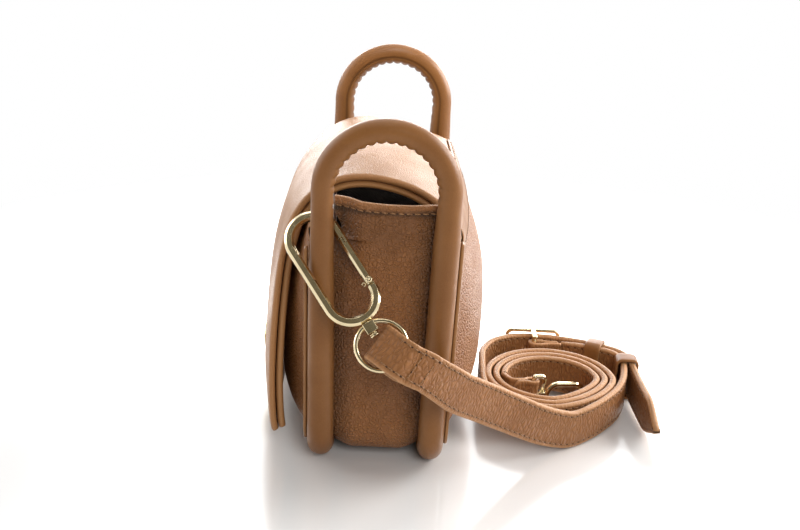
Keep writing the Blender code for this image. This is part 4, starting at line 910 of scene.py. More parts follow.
def pushed(rows, distance):
    """Moves a grid of points inwards along its own normals."""
    return [[p - n * distance for p, n in zip(row, line)] for row, line in zip(rows, normals_of(rows))]


def facing_up(rows):
    """Turns a grid round where its outward way points down on top of the bag."""
    return [row[::-1] for row in rows] if normals_of(rows)[20][22].z < 0.0 else rows


outer_face = facing_up(flap_rows(0.0))
inner_face = pushed(facing_up(flap_rows(0.0005)), FLAP_WALL + GAP)
print("flap is", round(sum((b[22] - a[22]).length for a, b in zip(outer_face, outer_face[1:])) * 1000),
      "mm long over its curve")


# %% Flap and lining
def bend_at_hinge(made):
    """Bakes a flap piece's placement into its points."""
    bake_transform(made)


def flap_tint(i, k):
    """Paints the flap's rubbed edge."""
    return (0.5 if k in (0, FLAP_COLUMNS) or i == len(outer_face) - 1 else 0.0, 0.0)


bend_at_hinge(hide_sheet("flap_hide", outer_face, FLAP_WALL, "flap", None, ["flap"], flap_tint, rim=0.42))
bend_at_hinge(hide_sheet("flap_lining_leather", inner_face, LINING_WALL, "smooth", None, ["flap_lining"],
                         flap_tint, rim=0.42))
print("flap is", round((FLAP_WALL + LINING_WALL + GAP) * 1000, 1), "mm thick with its lining")

# %% Hinge band
BAND_WALL, BAND_HALF = 0.0009, 0.0790


def panel_spot(x, z):
    """Gives the back panel's outer face at (x, z), and its outward way."""
    share = (z - PANEL_BOTTOM_Z) / (BACK_TOP_Z - PANEL_BOTTOM_Z)
    here, up = (panel_point(1.0, BACK_TOP_Z, BACK_BULGE, BACK_FULL, s, x / (CORNER_X + PANEL_RADIAL))
                for s in (share, share - 0.02))
    return here, Vector((0.0, (here - up).z, -(here - up).y)).normalized()


def flap_spot(x, i):
    """Gives the flap's outer face on row i at x, and its outward way."""
    row = outer_face[i]
    k = min(range(len(row) - 1), key=lambda n: abs(row[n].x - x))
    way = normals_of(outer_face[max(i - 1, 0):i + 2])[min(i, 1)][k]
    return Vector((x, row[k].y, row[k].z)), way


spots = [[panel_spot(lerp(-BAND_HALF, BAND_HALF, k / 24), z) for k in range(25)]
         for z in (0.1088, 0.1096, 0.1106, 0.1116, 0.1126, 0.1136)]
for i in range(2, 11):
    half = min(BAND_HALF, abs(outer_face[i][0].x) - 0.0035)
    spots.append([flap_spot(lerp(-half, half, k / 24), i) for k in range(25)])
band_rows = [[p + n * (BAND_WALL + GAP) for p, n in row] for row in spots]
if normals_of(band_rows)[3][12].y < 0.0:
    band_rows = [row[::-1] for row in band_rows]
bend_at_hinge(hide_sheet("hinge_band_leather", band_rows, BAND_WALL, "smooth", None, [],
                         lambda i, k: (0.1, 0.0)))
for name, i, body in (("hinge_band_lower_stitches", 2, "bag"),
                      ("hinge_band_upper_stitches", -3, "flap_leaf")):
    stitches(name, [list(zip(band_rows[i], normals_of(band_rows)[i]))[1:-1]], body)
print("hinge band covers", round(2 * BAND_HALF * 1000), "mm of the joint")

# %% [markdown]
# ## Pale gold
# The fittings are zinc with a champagne plating: almost white gold, very smooth, with
# hair-fine scratches. Metal gets its look from what it mirrors, so the base colour stays
# plain and the roughness does the work. Small parts are turned from a profile or swept
# along a path, with their corners bevelled so that each edge catches light.


# %% Gold finish
def pale_gold():
    """Makes the champagne plating with fine scratches and a few dull spots."""
    finish, tree, shader = new_finish("pale_gold")
    where = add(tree, "TexCoord").outputs["Object"]
    drawn = add(tree, "Mapping", {"Vector": where, "Scale": (1.0, 0.08, 1.0)}).outputs[0]
    dull = noise_of(tree, where, 0.006)
    dress(tree, shader, blend_colour(tree, dull, (0.80, 0.66, 0.40), (0.90, 0.78, 0.53)),
          span(tree, dull, 0.35, 0.75, 0.12, 0.24), noise_of(tree, drawn, 0.00022, 3.0), 0.000008, 0.6)
    shader.inputs["Metallic"].default_value = 1.0
    return finish


FINISHES["gold"] = pale_gold()
print("finishes now:", len(FINISHES))


# %% Helpers for metal
def basis(forward, face):
    """Gives axes with Y along forward and Z along the face."""
    forward, face = Vector(forward).normalized(), Vector(face).normalized()
    return Matrix((forward.cross(face), forward, face)).transposed()


def placed(points, matrix, centre):
    """Moves local points into the bag's frame."""
    return [centre + matrix @ Vector(p) for p in points]


def around(way):
    """Gives axes whose Z is the given way."""
    way = Vector(way).normalized()
    side = way.orthogonal().normalized()
    return Matrix((side, way.cross(side), way)).transposed()


def crisp(made, width):
    """Bevels the edges of a metal piece and keeps its facets flat."""
    edge = made.modifiers.new("edges", "BEVEL")
    edge.width, edge.segments = width, 2
    edge.limit_method, edge.angle_limit = "ANGLE", math.radians(28.0)
    edge.harden_normals = True


def block(half, matrix, centre):
    """Makes a block of the given half sizes, for carving."""
    corners = [(x * half[0], y * half[1], z * half[2]) for x in (-1, 1) for y in (-1, 1) for z in (-1, 1)]
    data = bpy.data.meshes.new("cutter")
    faces = [(0, 1, 3, 2), (4, 6, 7, 5), (0, 4, 5, 1), (2, 3, 7, 6), (0, 2, 6, 4), (1, 5, 7, 3)]
    data.from_pydata([tuple(p) for p in placed(corners, matrix, centre)], [], faces)
    return put("cutter", data)


def carve(made, other):
    """Cuts another mesh out of a piece at once, and removes it."""
    step = made.modifiers.new("carve", "BOOLEAN")
    step.operation, step.solver, step.object = "DIFFERENCE", "EXACT", other
    bpy.context.view_layer.update()
    graph = bpy.context.evaluated_depsgraph_get()
    done = bpy.data.meshes.new_from_object(made.evaluated_get(graph))
    made.modifiers.remove(step)
    made.data = done
    bpy.data.objects.remove(other, do_unlink=True)
    return made


print("helpers for metal are ready")


# %% Helpers that turn a profile and sweep a wire
def turned(name, profile, matrix, centre, body, nodes=(), sides=28):
    """Turns a closed profile of (radius, height) pairs about the local Z axis."""
    rings = [placed([(a, b, height) for a, b in circle(radius, sides)], matrix, centre)
             for radius, height in profile]
    return ringed(name, rings, "gold", body, nodes)


def wire(name, path, outline, face, body, nodes, closed=False):
    """Sweeps an outline along a flat path; face is the path's normal."""
    rings = []
    last = len(path) - 1
    for k, p in enumerate(path):
        before = path[k - 1] if k or closed else path[0]
        after = path[(k + 1) % (last + 1)] if k < last or closed else path[last]
        side = (after - before).normalized().cross(face).normalized()
        rings.append([p + side * a + face * b for a, b in outline])
    return ringed(name, rings, "gold", body, nodes, closed=closed)


def rounded_outline(half_x, half_y, corner, steps=6):
    """Lists the outline of a rectangle with rounded corners."""
    outline = []
    for sx, sy, turn in ((1, 1, 0), (-1, 1, 1), (-1, -1, 2), (1, -1, 3)):
        centre = (sx * (half_x - corner), sy * (half_y - corner))
        outline += arc(centre, corner, turn * math.pi / 2, (turn + 1) * math.pi / 2, steps)
    return outline


print("a rounded outline has", len(rounded_outline(2.0, 1.0, 0.5)), "points")

# %% [markdown]
# ## Clasp
# A plain plate with a raised disc sits low on the flap; snap discs behind it do the
# closing. The plate leans with the flap, so its axes come from two points on the leather.

# %% Clasp plate and stud
PLATE_HALF_X, PLATE_HALF_Y = 0.0075, 0.0110


def middle_of(box):
    """Gives the middle of a box of two corners."""
    low, high = box
    return (low + high) / 2


def front_spot(z):
    """Gives the flap's foremost point near a height, in the middle of its width."""
    near = [p for row in outer_face for p in row if abs(p.x) < 0.003 and abs(p.z - z) < 0.003]
    return min(near, key=lambda p: p.y)


plate_up = (front_spot(0.0365) - front_spot(0.0145)).normalized()
across = Vector((1.0, 0.0, 0.0))
if across.cross(plate_up).y > 0.0:
    across = -across
plate_axes = Matrix((across, plate_up, across.cross(plate_up))).transposed()

rings = []
for shrink, height in ((0.0010, -0.0007), (0.0, -0.0005), (0.0, 0.0002), (0.0003, 0.0005), (0.0010, 0.0007)):
    outline = rounded_outline(PLATE_HALF_X - shrink, PLATE_HALF_Y - shrink, 0.0024)
    rings.append(placed([(x, y, height) for x, y in outline], plate_axes, middle_of(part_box("clasp_plate"))))
ringed("clasp_plate_gold", rings, "gold", "flap_leaf", ["clasp_plate"])
turned("clasp_stud_gold", ((0.0044, -0.0006), (0.0052, -0.0004), (0.0052, 0.0001), (0.0047, 0.0005),
                           (0.0033, 0.0006), (0.0031, 0.0004), (0.0008, 0.0004)),
       plate_axes, middle_of(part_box("clasp_stud")), "flap_leaf", ["clasp_stud"], sides=48)
print("clasp plate:", round(2000 * PLATE_HALF_X), "by", round(2000 * PLATE_HALF_Y), "mm")

# %% [markdown]
# ## Clips
# Each clip is an oval of flat-sided rod with a gap on one side, a gate that closes the gap
# and laps over a stepped nose, a rivet and a tiny spring. The rod's outline is an octagon
# with four wide sides, swept along the oval. At the nose and the hinge the outline is
# clipped to a half or to a thin tongue, which makes the steps without any cutting. All
# sizes are shares of the rod's radius, so that both clips come from the same lines.


# %% Clip body
# In rods: a side that isn't clipped, a nose's lap and the swivel's block
OPEN, LAP, BOSS_LENGTH = 9.0, 1.3, 2.36


def octagon(r):
    """Lists the rod's outline: wide flats with narrow slopes between."""
    return [(a * r, b * r) for a, b in ((1, .46), (.5, .97), (-.5, .97), (-1, .46), (-1, -.46),
                                        (-.5, -.97), (.5, -.97), (1, -.46))]


def held(outline, a_low, a_high, b_half):
    """Clips an outline to a narrower one."""
    return [(min(max(a, a_low), a_high), min(max(b, -b_half), b_half)) for a, b in outline]


def clip_body(prefix, centre, axes, half_width, half_length, r, pivot_back, nose_forward, neck_end):
    """Makes the oval rod with its nose and tongue, and the neck that turns in the ring's boss."""
    full = octagon(r)
    nose, mid = held(full, 0.5 * GAP, OPEN, OPEN), half_length - half_width
    line = [((half_width, nose_forward), nose), ((half_width, nose_forward + r * LAP), nose),
            ((half_width, nose_forward + r * LAP), full)]
    line += [(p, full) for p in arc((0.0, mid), half_width, 0.0, math.pi, 36)]
    line += [(p, full) for p in arc((0.0, -mid), half_width, math.pi, 2 * math.pi, 36)]
    line.append(((half_width, -pivot_back - r * 1.17), full))
    for y, a in ((-1.17, 0.7), (-0.2, 0.74), (0.35, 0.62), (0.62, 0.35), (0.74, 0.1)):
        line.append(((half_width, y * r - pivot_back), held(full, -a * r, a * r, 0.29 * r)))
    rings = []
    for k, ((x, y), outline) in enumerate(line):
        before, after = line[max(k - 1, 0)][0], line[min(k + 1, len(line) - 1)][0]
        along = Vector((after[0] - before[0], after[1] - before[1]))
        straight = along.length < 1e-7 or abs(x - half_width) < 1e-9
        along = Vector((0.0, 1.0)) if straight else along.normalized()
        rings.append(placed([(x + along.y * a, y - along.x * a, b) for a, b in outline], axes, centre))
    crisp(ringed(prefix + "_clip_gold", rings, "gold", prefix + "_hook", [prefix + "_clip"]), r * 0.07)

    forward, drop = axes.col[1], neck_end - half_length
    profile = ((r * 0.5, 0.0), (r * 0.5, drop - r * 0.5), (r * 0.92, drop - r * 0.5),
               (r * 0.92, drop - r * 0.22), (r * 0.70, drop - r * 0.05))
    crisp(turned(prefix + "_clip_neck", profile, around(-forward),
                 centre - forward * (half_length + r * 0.5), prefix + "_hook", sides=32), r * 0.05)


print("octagon rod outline has", len(octagon(1.0)), "sides")


# %% Clip gate and fittings
def clip_gate(prefix, pivot, axes, r, length):
    """Makes the gate: slit at the hinge for the tongue, halved at the nose."""
    gate_r = r * 0.9
    full = octagon(gate_r)
    half = held(full, -OPEN, -0.5 * GAP, OPEN)
    line = [(y * r, held(full, -share * gate_r, share * gate_r, 0.87 * gate_r))
            for y, share in ((-0.95, 0.25), (-0.85, 0.55), (-0.6, 0.82), (-0.3, 0.96), (0.0, 1.0))]
    line += [(r, full), (length - GAP, full), (length - GAP, half), (length + r * LAP - GAP, half)]
    rings = [placed([(a, y, b) for a, b in outline], axes, pivot) for y, outline in line]
    gate = ringed(prefix + "_gate_gold", rings, "gold", prefix + "_gate_bar", [prefix + "_gate"])
    crisp(carve(gate, block((1.5 * r, 1.75 * r, 0.49 * r), axes, pivot)), r * 0.06)


def make_clip(prefix, centre, axes, half_width, half_length, r, pivot_back, nose_forward):
    """Makes a clip's body, gate, rivet, spring and washer."""
    hook, washer = prefix + "_hook", r * 0.24
    bottom = half_length + r + GAP + r * BOSS_LENGTH + GAP + washer
    pivot = centre + axes @ Vector((half_width, -pivot_back, 0.0))
    clip_body(prefix, centre, axes, half_width, half_length, r, pivot_back, nose_forward, bottom + GAP)
    clip_gate(prefix, pivot, axes, r, pivot_back + nose_forward)
    profile = [(0.16, 1.16), (0.20, 1.24), (0.50, 1.24), (0.70, 1.10), (0.72, 0.96), (0.36, 0.92)]
    profile = [(a * r, -b * r) for a, b in profile] + [(a * r, b * r) for a, b in reversed(profile)]
    turned(prefix + "_rivet_gold", profile, axes, pivot, hook, [prefix + "_rivet"], sides=32)
    spring = arc((half_width - r * 1.30, -pivot_back - r * 0.25), r * 0.34, -0.7 * math.pi, math.pi, 17)
    wire(prefix + "_spring_gold", placed([(a, b, 0.0) for a, b in spring], axes, centre),
         circle(r * 0.14, 8), axes.col[2].copy(), hook, [prefix + "_gate_spring"])
    top = bottom - washer
    rings = [placed([(a, -y, b) for a, b in circle(radius, 32)], axes, centre)
             for radius, y in ((r * 0.66, bottom), (r * 0.92, bottom), (r * 0.92, top), (r * 0.66, top))]
    ringed(prefix + "_washer_gold", rings, "gold", hook, [prefix + "_washer"], closed=True)
    print(prefix, "clip:", round(2000 * (half_length + r)), "mm long, rod", round(2000 * r, 1), "mm thick")


def make_boss(name, axes, centre, half_length, r):
    """Makes the swivel's block with its bore."""
    near = half_length + r + GAP
    far = near + r * BOSS_LENGTH
    rings = []
    for shrink, y in ((0.12, near), (0.0, near + 0.10 * r), (0.0, far - 0.10 * r), (0.12, far)):
        outline = rounded_outline(r * (1.25 - shrink), r * (1.125 - shrink), 0.22 * r, 3)
        rings.append(placed([(a, -y, b) for a, b in outline], axes, centre))
    bore = turned("bore", ((r * 0.66, near - r), (r * 0.66, far + r)), around(-axes.col[1]), centre, None)
    crisp(carve(ringed(name, rings, "gold", "bag"), bore), r * 0.04)


print("the swivel's block is", BOSS_LENGTH, "rods long")

# %% Front clip and its ring
TILT, LEAN = math.radians(36.0), math.radians(55.0)
CLIP_FACE = Vector((math.cos(TILT), 0.0, math.sin(TILT)))
CLIP_UP = Vector((-math.sin(TILT), 0.0, math.cos(TILT)))
CLIP_AXIS = Vector((0.0, math.cos(LEAN), 0.0)) - math.sin(LEAN) * CLIP_UP
CLIP_CENTRE = Vector((0.0968, -0.0228, 0.1034))
CLIP_HALF_LENGTH, ROD = 0.0272, 0.0022
RING_RADIUS, RING_WIRE, RING_DROP = 0.0113, 0.00115, 0.0416
RING_CENTRE = CLIP_CENTRE + CLIP_AXIS * RING_DROP
clip_axes = basis(-CLIP_AXIS, CLIP_FACE)
make_clip("front", CLIP_CENTRE, clip_axes, half_width=0.0111, half_length=CLIP_HALF_LENGTH, r=ROD,
          pivot_back=0.0133, nose_forward=0.0072)
half_gap = math.asin(ROD / RING_RADIUS)
ring_line = arc((0.0, -RING_DROP), RING_RADIUS, math.pi / 2 + half_gap, 2.5 * math.pi - half_gap, 84)
wire("swivel_ring_gold", placed([(x, y, 0.0) for x, y in ring_line], clip_axes, CLIP_CENTRE),
     circle(RING_WIRE, 14), clip_axes.col[2].copy(), "bag", ["swivel_ring"])
make_boss("swivel_boss_gold", clip_axes, CLIP_CENTRE, CLIP_HALF_LENGTH, ROD)
print("ring", round(2000 * RING_RADIUS, 1), "mm wide")

# %% [markdown]
# ## The strap
# The strap is 20 mm wide hide with turned edges and a row of stitches along each side. The
# short part folds round the clip's ring, runs down to the floor, turns on its edge and ends
# at the buckle. The long part runs through the buckle and winds up. Each is a ribbon: one
# outline carried along a line of stations, each with its own width, thickness and standing
# direction. The outline has round rims and a shallow groove where the thread lies.

# %% Strap outline and maker
STRAP_WIDTH, STRAP_THICK = 0.0200, 0.0034
END_WIDTH, END_THICK = 0.0184, 0.0020
ROW_INSET = 0.0024
UP = Vector((0.0, 0.0, 1.0))


def strap_outline(width, thick):
    """Lists the strap's outline: (across, out, worn, deep), round rims and thread grooves."""
    w, t = width / 2, thick / 2
    g = max(0.3 * w, w - ROW_INSET)
    # The fourth value is painted shade, darkest in the thread grooves.
    side = [(w, 0.0, 1.0, 0.0), (w - 0.10 * t, 0.52 * t, 1.0, 0.0), (w - 0.45 * t, 0.93 * t, 0.8, 0.0),
            (w - 0.85 * t, t, 0.45, 0.0), (g + 0.0006, t * 0.97, 0.2, 0.05), (g, t * 0.86, 0.1, 0.30),
            (g - 0.0006, t * 0.96, 0.05, 0.05), (g - 0.0022 if g > 0.004 else g * 0.4, t * 1.0, 0.0, 0.0)]
    top = side + [(0.0, t * 1.03, 0.0, 0.0)] + [(-a, b, c, d) for a, b, c, d in reversed(side[1:])]
    return top + [(-a, -b, c, d) for a, b, c, d in top]


def framed(stations):
    """Gives each station's centre, rise, face, width and thickness, square to its run."""
    last = len(stations) - 1
    for k, (centre, upward, width, thick) in enumerate(stations):
        along = (stations[min(k + 1, last)][0] - stations[max(k - 1, 0)][0]).normalized()
        rise = (upward - along * upward.dot(along)).normalized()
        yield centre, rise, along.cross(rise), width, thick


def make_strap(name, stations, nodes):
    """Makes a strap from (centre, standing way, width, thickness) stations."""
    rings, worn, deep, flat = [], [], [], []
    gone, before = 0.0, stations[0][0]
    for centre, rise, face, width, thick in framed(stations):
        gone += (centre - before).length
        before = centre
        outline = strap_outline(width, thick)
        run, last = 0.0, outline[0]
        rings.append([])
        for spot in outline:
            a, b, rubbed, groove = spot
            run += math.hypot(a - last[0], b - last[1])
            last = spot
            p = centre + rise * a + face * b
            wander = 0.00010 * noise.noise(p * 160.0) * (1.0 - rubbed)
            rings[-1].append(p + face * wander * (1 if b > 0 else -1))
            worn.append(rubbed * 0.75)
            deep.append(groove)
            flat.append((gone, run))
    return ringed(name, rings, "strap", "bag", nodes, {"worn": worn, "deep": deep}, flat=flat), gone


def thread_lines(stations, side):
    """Gives the lines that the needle follows on one face, along both edges."""
    return [[(centre + rise * edge * (width / 2 - ROW_INSET) + face * side * thick * 0.44, face * side)
             for centre, rise, face, width, thick in framed(stations)] for edge in (1.0, -1.0)]


print("strap outline has", len(strap_outline(STRAP_WIDTH, STRAP_THICK)), "points")


# %% Helpers for the strap's ends and its place
FOLD_STEP = 0.0011


def walk(guide, distance):
    """Finds the point and the direction at a distance along a line of points."""
    left = distance
    for a, b in zip(guide, guide[1:]):
        step = (b - a).length
        if left <= step:
            return a.lerp(b, left / step), (b - a).normalized()
        left -= step
    return guide[-1].copy(), (guide[-1] - guide[-2]).normalized()


def folded_end(guide, rise, wire_radius, reach, shut, stop):
    """Lists the stations of an end that folds back round a wire: under layer, bend, upper layer."""
    open_height, shut_height = wire_radius + GAP + END_THICK / 2, (GAP + END_THICK) / 2
    under, upper, bend = [], [], []
    count = max(2, round(stop / FOLD_STEP))
    for k in range(count + 1):
        distance = stop * k / count
        height = lerp(open_height, shut_height, ease((distance - reach) / (shut - reach)))
        point, along = walk(guide, distance)
        face = along.cross(rise).normalized()
        taper = 1.0 - 0.30 * max(0.0, 1.0 - (stop - distance) / 0.0022) ** 2
        under.insert(0, (point - face * height, rise, END_WIDTH * taper, END_THICK))
        upper.append((point + face * height, rise, END_WIDTH, END_THICK))
    point, along = walk(guide, 0.0)
    face = along.cross(rise).normalized()
    for k in range(1, 16):
        angle = math.pi * k / 16
        offset = -face * math.cos(angle) - along * math.sin(angle)
        bend.append((point + offset * open_height, rise, END_WIDTH, END_THICK))
    return under, bend, upper


def floor_spot(x, y):
    """Gives the strap's middle where it stands on its edge, leaning a little down to the tail."""
    return Vector((x, y, 0.0002 + STRAP_WIDTH / 2 + 0.035 * (0.0640 - x)))


print("strap's middle stands", round(floor_spot(0.0, 0.0).z * 1000, 1), "mm above the floor")

# %% Short strap: its run
BAR = floor_spot(-0.0185, 0.0862)
BAR_RADIUS = 0.0012
DROP = math.radians(33.0)
# Through the air, then along the floor
RUN = ((0.1195, 0.0215, 0.0650), (0.1140, 0.0307, 0.0570), (0.1070, 0.0382, 0.0494),
       (0.0970, 0.0484, 0.0409), (0.0880, 0.0589, 0.0327), (0.0800, 0.0698, 0.0248),
       (0.0730, 0.0809, 0.0176), (0.0665, 0.0912, 0.0124))
FLOOR_RUN = ((0.0620, 0.0990), (0.0548, 0.1080), (0.0455, 0.1165), (0.0335, 0.1250), (0.0210, 0.1302),
             (0.0080, 0.1328), (-0.0020, 0.1332), (-0.0085, 0.1300), (-0.0130, 0.1232),
             (-0.0160, 0.1140), (-0.0180, 0.1060))
DETAIL = 9
RING_END = 0.0262
along = Vector((0.0, math.cos(DROP), 0.0)) - math.sin(DROP) * CLIP_UP
rise = CLIP_FACE.cross(along)
fold = folded_end([BAR, BAR + Vector((0.0, 0.02, 0.0))], UP, BAR_RADIUS, reach=0.0030, shut=0.0080, stop=0.0150)
bar_end = [(floor_spot(p.x, p.y), *rest) for layer in fold for p, *rest in layer]
route = [RING_CENTRE, RING_CENTRE + along * 0.0128] + [Vector(p) for p in RUN]
landing = (len(route) - 1) * DETAIL
guide = through(route + [floor_spot(x, y) for x, y in FLOOR_RUN] + [bar_end[0][0]], DETAIL)
ring_under, ring_bend, ring_upper = folded_end(guide, rise, RING_WIRE, reach=0.0128, shut=0.0165, stop=0.0250)
gone, start = 0.0, 0
while gone < RING_END:
    start += 1
    gone += (guide[start] - guide[start - 1]).length
run = []
for k in range(start, len(guide) - 1):
    turn = min(1.0, (k - start + 1) / (landing - start))
    grown = ease(min(k - start + 1, len(guide) - k) / DETAIL * 0.6)
    run.append((guide[k], rise.lerp(UP, turn * turn * (3 - 2 * turn)), lerp(END_WIDTH, STRAP_WIDTH, grown),
                lerp(END_THICK, STRAP_THICK, grown)))
print("short strap has", len(run), "stations between its ends")

# %% Short strap: leather and thread
SLOT_HALF_X, SLOT_HALF_Z = 0.0055, 0.0015
STRAP_PITCH = 0.0038
short_strap, length = make_strap("short_strap_hide", ring_under + ring_bend + ring_upper + run + bar_end,
                                 ["short_strap"])
carve(short_strap, block((SLOT_HALF_X, 0.0045, SLOT_HALF_Z), Matrix.Identity(3),
                         BAR - Vector((0.0016, 0.0, 0.0))))
rows = thread_lines(ring_upper[4:] + run, 1.0) + thread_lines(run[6:-8], -1.0)
for at in (16, 22):
    centre, upward, width, thick = ring_upper[at]
    out = (centre - ring_upper[at - 1][0]).normalized().cross(rise)
    rows.append([(centre + rise * lerp(-1.0, 1.0, k / 6) * (width / 2 - ROW_INSET) + out * thick * 0.46, out)
                 for k in range(7)])
stitches("short_strap_stitches", rows, "bag", pitch=STRAP_PITCH)
print("short strap:", round(length * 1000), "mm of leather")

# %% Long strap: its line, from the tail through the buckle and round the coil
TAIL = ((0.0610, 0.1420), (0.0480, 0.1407), (0.0330, 0.1394), (0.0180, 0.1384), (0.0060, 0.1378),
        (-0.0040, 0.1372), (-0.0110, 0.1332), (-0.0162, 0.1256), (-0.0205, 0.1160), (-0.0234, 0.1060),
        (-0.0252, 0.0960), (-0.0258, 0.0862), (-0.0252, 0.0780), (-0.0226, 0.0700), (-0.0170, 0.0624),
        (-0.0090, 0.0580), (0.0010, 0.0558), (0.0120, 0.0543))
TIP = ((0.0, 0.10), (0.0030, 0.30), (0.0065, 0.46), (0.0130, 0.80), (0.0200, 1.0), (1.0, 1.0))
REAR_AXIS = Vector((-0.34, 0.93, -0.105)).normalized()
LOOP_WIRE = 0.0011
# The coil, an oval that winds in: its middle, its radii and how much a turn takes off
COIL_X, COIL_Y = 0.0237, 0.0900
COIL_RADIUS_X, COIL_RADIUS_Y = 0.0340, 0.0364
PITCH_X, PITCH_Y, SQUEEZE = 0.0044, 0.0043, 0.0034
TURNS = 3


def coil_spot(turns):
    """Gives the winding's middle line after the given turns from the bag's side."""
    angle = 2 * math.pi * turns
    squeeze = SQUEEZE * max(0.0, -math.sin(angle * 2)) if math.sin(angle) > 0.0 else 0.0
    return floor_spot(COIL_X + (COIL_RADIUS_X - squeeze - PITCH_X * turns) * math.sin(angle),
                      COIL_Y - (COIL_RADIUS_Y - squeeze - PITCH_Y * turns) * math.cos(angle))


winding = [coil_spot(k / 20) for k in range(1, 20 * TURNS + 1)]
line = through([floor_spot(x, y) for x, y in TAIL[:-1]] + winding, 4)
stations, gone, before = [], 0.0, line[0]
for p in line:
    gone += (p - before).length
    before = p
    stations.append((p, UP, STRAP_WIDTH * read(TIP, gone), STRAP_THICK))
print("long strap's line is", round(gone * 1000), "mm long before its end fold")

# %% Long strap: end fold, leather and thread
lead = winding[-1] + Vector((0.0060, 0.0140, 0.0))
rear_wire = floor_spot(lead.x, lead.y) + Vector((0.0, 0.0, 0.0010))
rear_face = (-REAR_AXIS).cross(UP).normalized()
rear_rise = rear_face.cross(-REAR_AXIS).normalized()
fold = folded_end([rear_wire, rear_wire - REAR_AXIS * 0.02], rear_rise, LOOP_WIRE, reach=0.0020,
                  shut=0.0050, stop=0.0110)
rear_end = [station for layer in fold for station in layer][::-1]
joint = through([line[-2], line[-1], rear_end[0][0], rear_end[2][0]], 6)[8:12]
for k, p in enumerate(joint):
    share = (k + 1) / (len(joint) + 1)
    stations.append((p, UP, lerp(STRAP_WIDTH, END_WIDTH, share), lerp(STRAP_THICK, END_THICK, share)))
long_strap, length = make_strap("long_strap_hide", stations + rear_end, ["long_strap"])
carve(long_strap, block((SLOT_HALF_X, 0.0030, SLOT_HALF_Z), Matrix.Identity(3),
                        BAR + Vector((-0.0070, -0.0030, 0.0))))
tail_end, turn_end = 4 * 16, 4 * 36
rows = thread_lines(stations[6:turn_end], 1.0) + thread_lines(stations[6:tail_end], -1.0)
rows += thread_lines(stations[-80:-8], -1.0)
stitches("long_strap_stitches", rows, "bag", pitch=STRAP_PITCH)
print("long strap:", round(length * 1000), "mm of leather in", TURNS, "turns and a tail")

# %% Rear clip on its loop
REAR_ROD, REAR_HALF_LENGTH = 0.0013, 0.0108
LOOP_HALF, LOOP_CORNER, LOOP_DEPTH = 0.0106, 0.0018, 0.0060
rear_reach = LOOP_DEPTH + REAR_ROD * BOSS_LENGTH + GAP + REAR_ROD + REAR_HALF_LENGTH - LOOP_WIRE
rear_centre = rear_wire + REAR_AXIS * rear_reach
rear_axes = basis(REAR_AXIS, -rear_face)
make_clip("rear", rear_centre, rear_axes, half_width=0.0058, half_length=REAR_HALF_LENGTH, r=REAR_ROD,
          pivot_back=0.0033, nose_forward=0.0034)
# The loop's outline, from one side of the boss round to the other
front_y = -(REAR_HALF_LENGTH + REAR_ROD + GAP + REAR_ROD * BOSS_LENGTH / 2)
middle_y, half_y = (front_y - rear_reach) / 2, (front_y + rear_reach) / 2
outline = [(x, y + middle_y) for x, y in rounded_outline(LOOP_HALF, half_y, LOOP_CORNER, 8)]
stop = REAR_ROD * 1.25 - 0.0002
loop = [(-stop, front_y)] + outline[9:] + outline[:9] + [(stop, front_y)]
wire("rear_loop_gold", placed([(x, y, 0.0) for x, y in loop], rear_axes, rear_centre), circle(LOOP_WIRE, 14),
     rear_axes.col[2].copy(), "bag", ["rear_loop"])
make_boss("rear_boss_gold", rear_axes, rear_centre, REAR_HALF_LENGTH, REAR_ROD)
print("rear loop", round(2000 * LOOP_HALF, 1), "mm wide")

# %% [markdown]
# ## Buckle and keepers
# The strap ends at a buckle whose frame stands clear of the leather on a bar. The tail of
# the other strap runs through it and under two leather loops. The loops are narrow strips,
# bent round and sewn, so they are swept round a rectangle with soft corners.

# %% Buckle
FRAME_X, FRAME_HALF, FRAME_WIRE = -0.0285, 0.0145, 0.0011
TONGUE_RADIUS = 0.0008
rail = STRAP_WIDTH / 2 + 0.0004 + FRAME_WIRE
frame_line = [Vector((FRAME_X, BAR.y + a, BAR.z + b)) for a, b in rounded_outline(FRAME_HALF, rail, 0.0030)]
flat_wire = [(a * FRAME_WIRE, b * FRAME_WIRE) for a, b in
             ((1, 0), (.92, .45), (.62, .80), (0, .95), (-.62, .80), (-.92, .45), (-1, 0), (-.92, -.45),
              (-.62, -.80), (0, -.95), (.62, -.80), (.92, -.45))]
wire("buckle_frame_gold", frame_line, flat_wire, Vector((1.0, 0.0, 0.0)), "bag", ["buckle_frame"],
     closed=True)
turned("buckle_bar_gold", ((BAR_RADIUS * 0.8, -rail - 0.0004), (BAR_RADIUS, -rail), (BAR_RADIUS, rail),
                           (BAR_RADIUS * 0.8, rail + 0.0004)), Matrix.Identity(3), BAR, "bag", sides=20)
half = (BAR.x - FRAME_X) / 2 + BAR_RADIUS
for side, word in ((1.0, "upper"), (-1.0, "lower")):
    middle = Vector(((FRAME_X + BAR.x) / 2, BAR.y, BAR.z + side * rail))
    rings = []
    for x, shrink in ((-half, 0.0003), (-half + 0.0003, 0.0), (half - 0.0003, 0.0), (half, 0.0003)):
        outline = rounded_outline(0.0015 - shrink, 0.0010 - shrink, 0.0005, 3)
        rings.append([middle + Vector((x, a, b)) for a, b in outline])
    ringed("buckle_lug_" + word, rings, "gold", "bag")

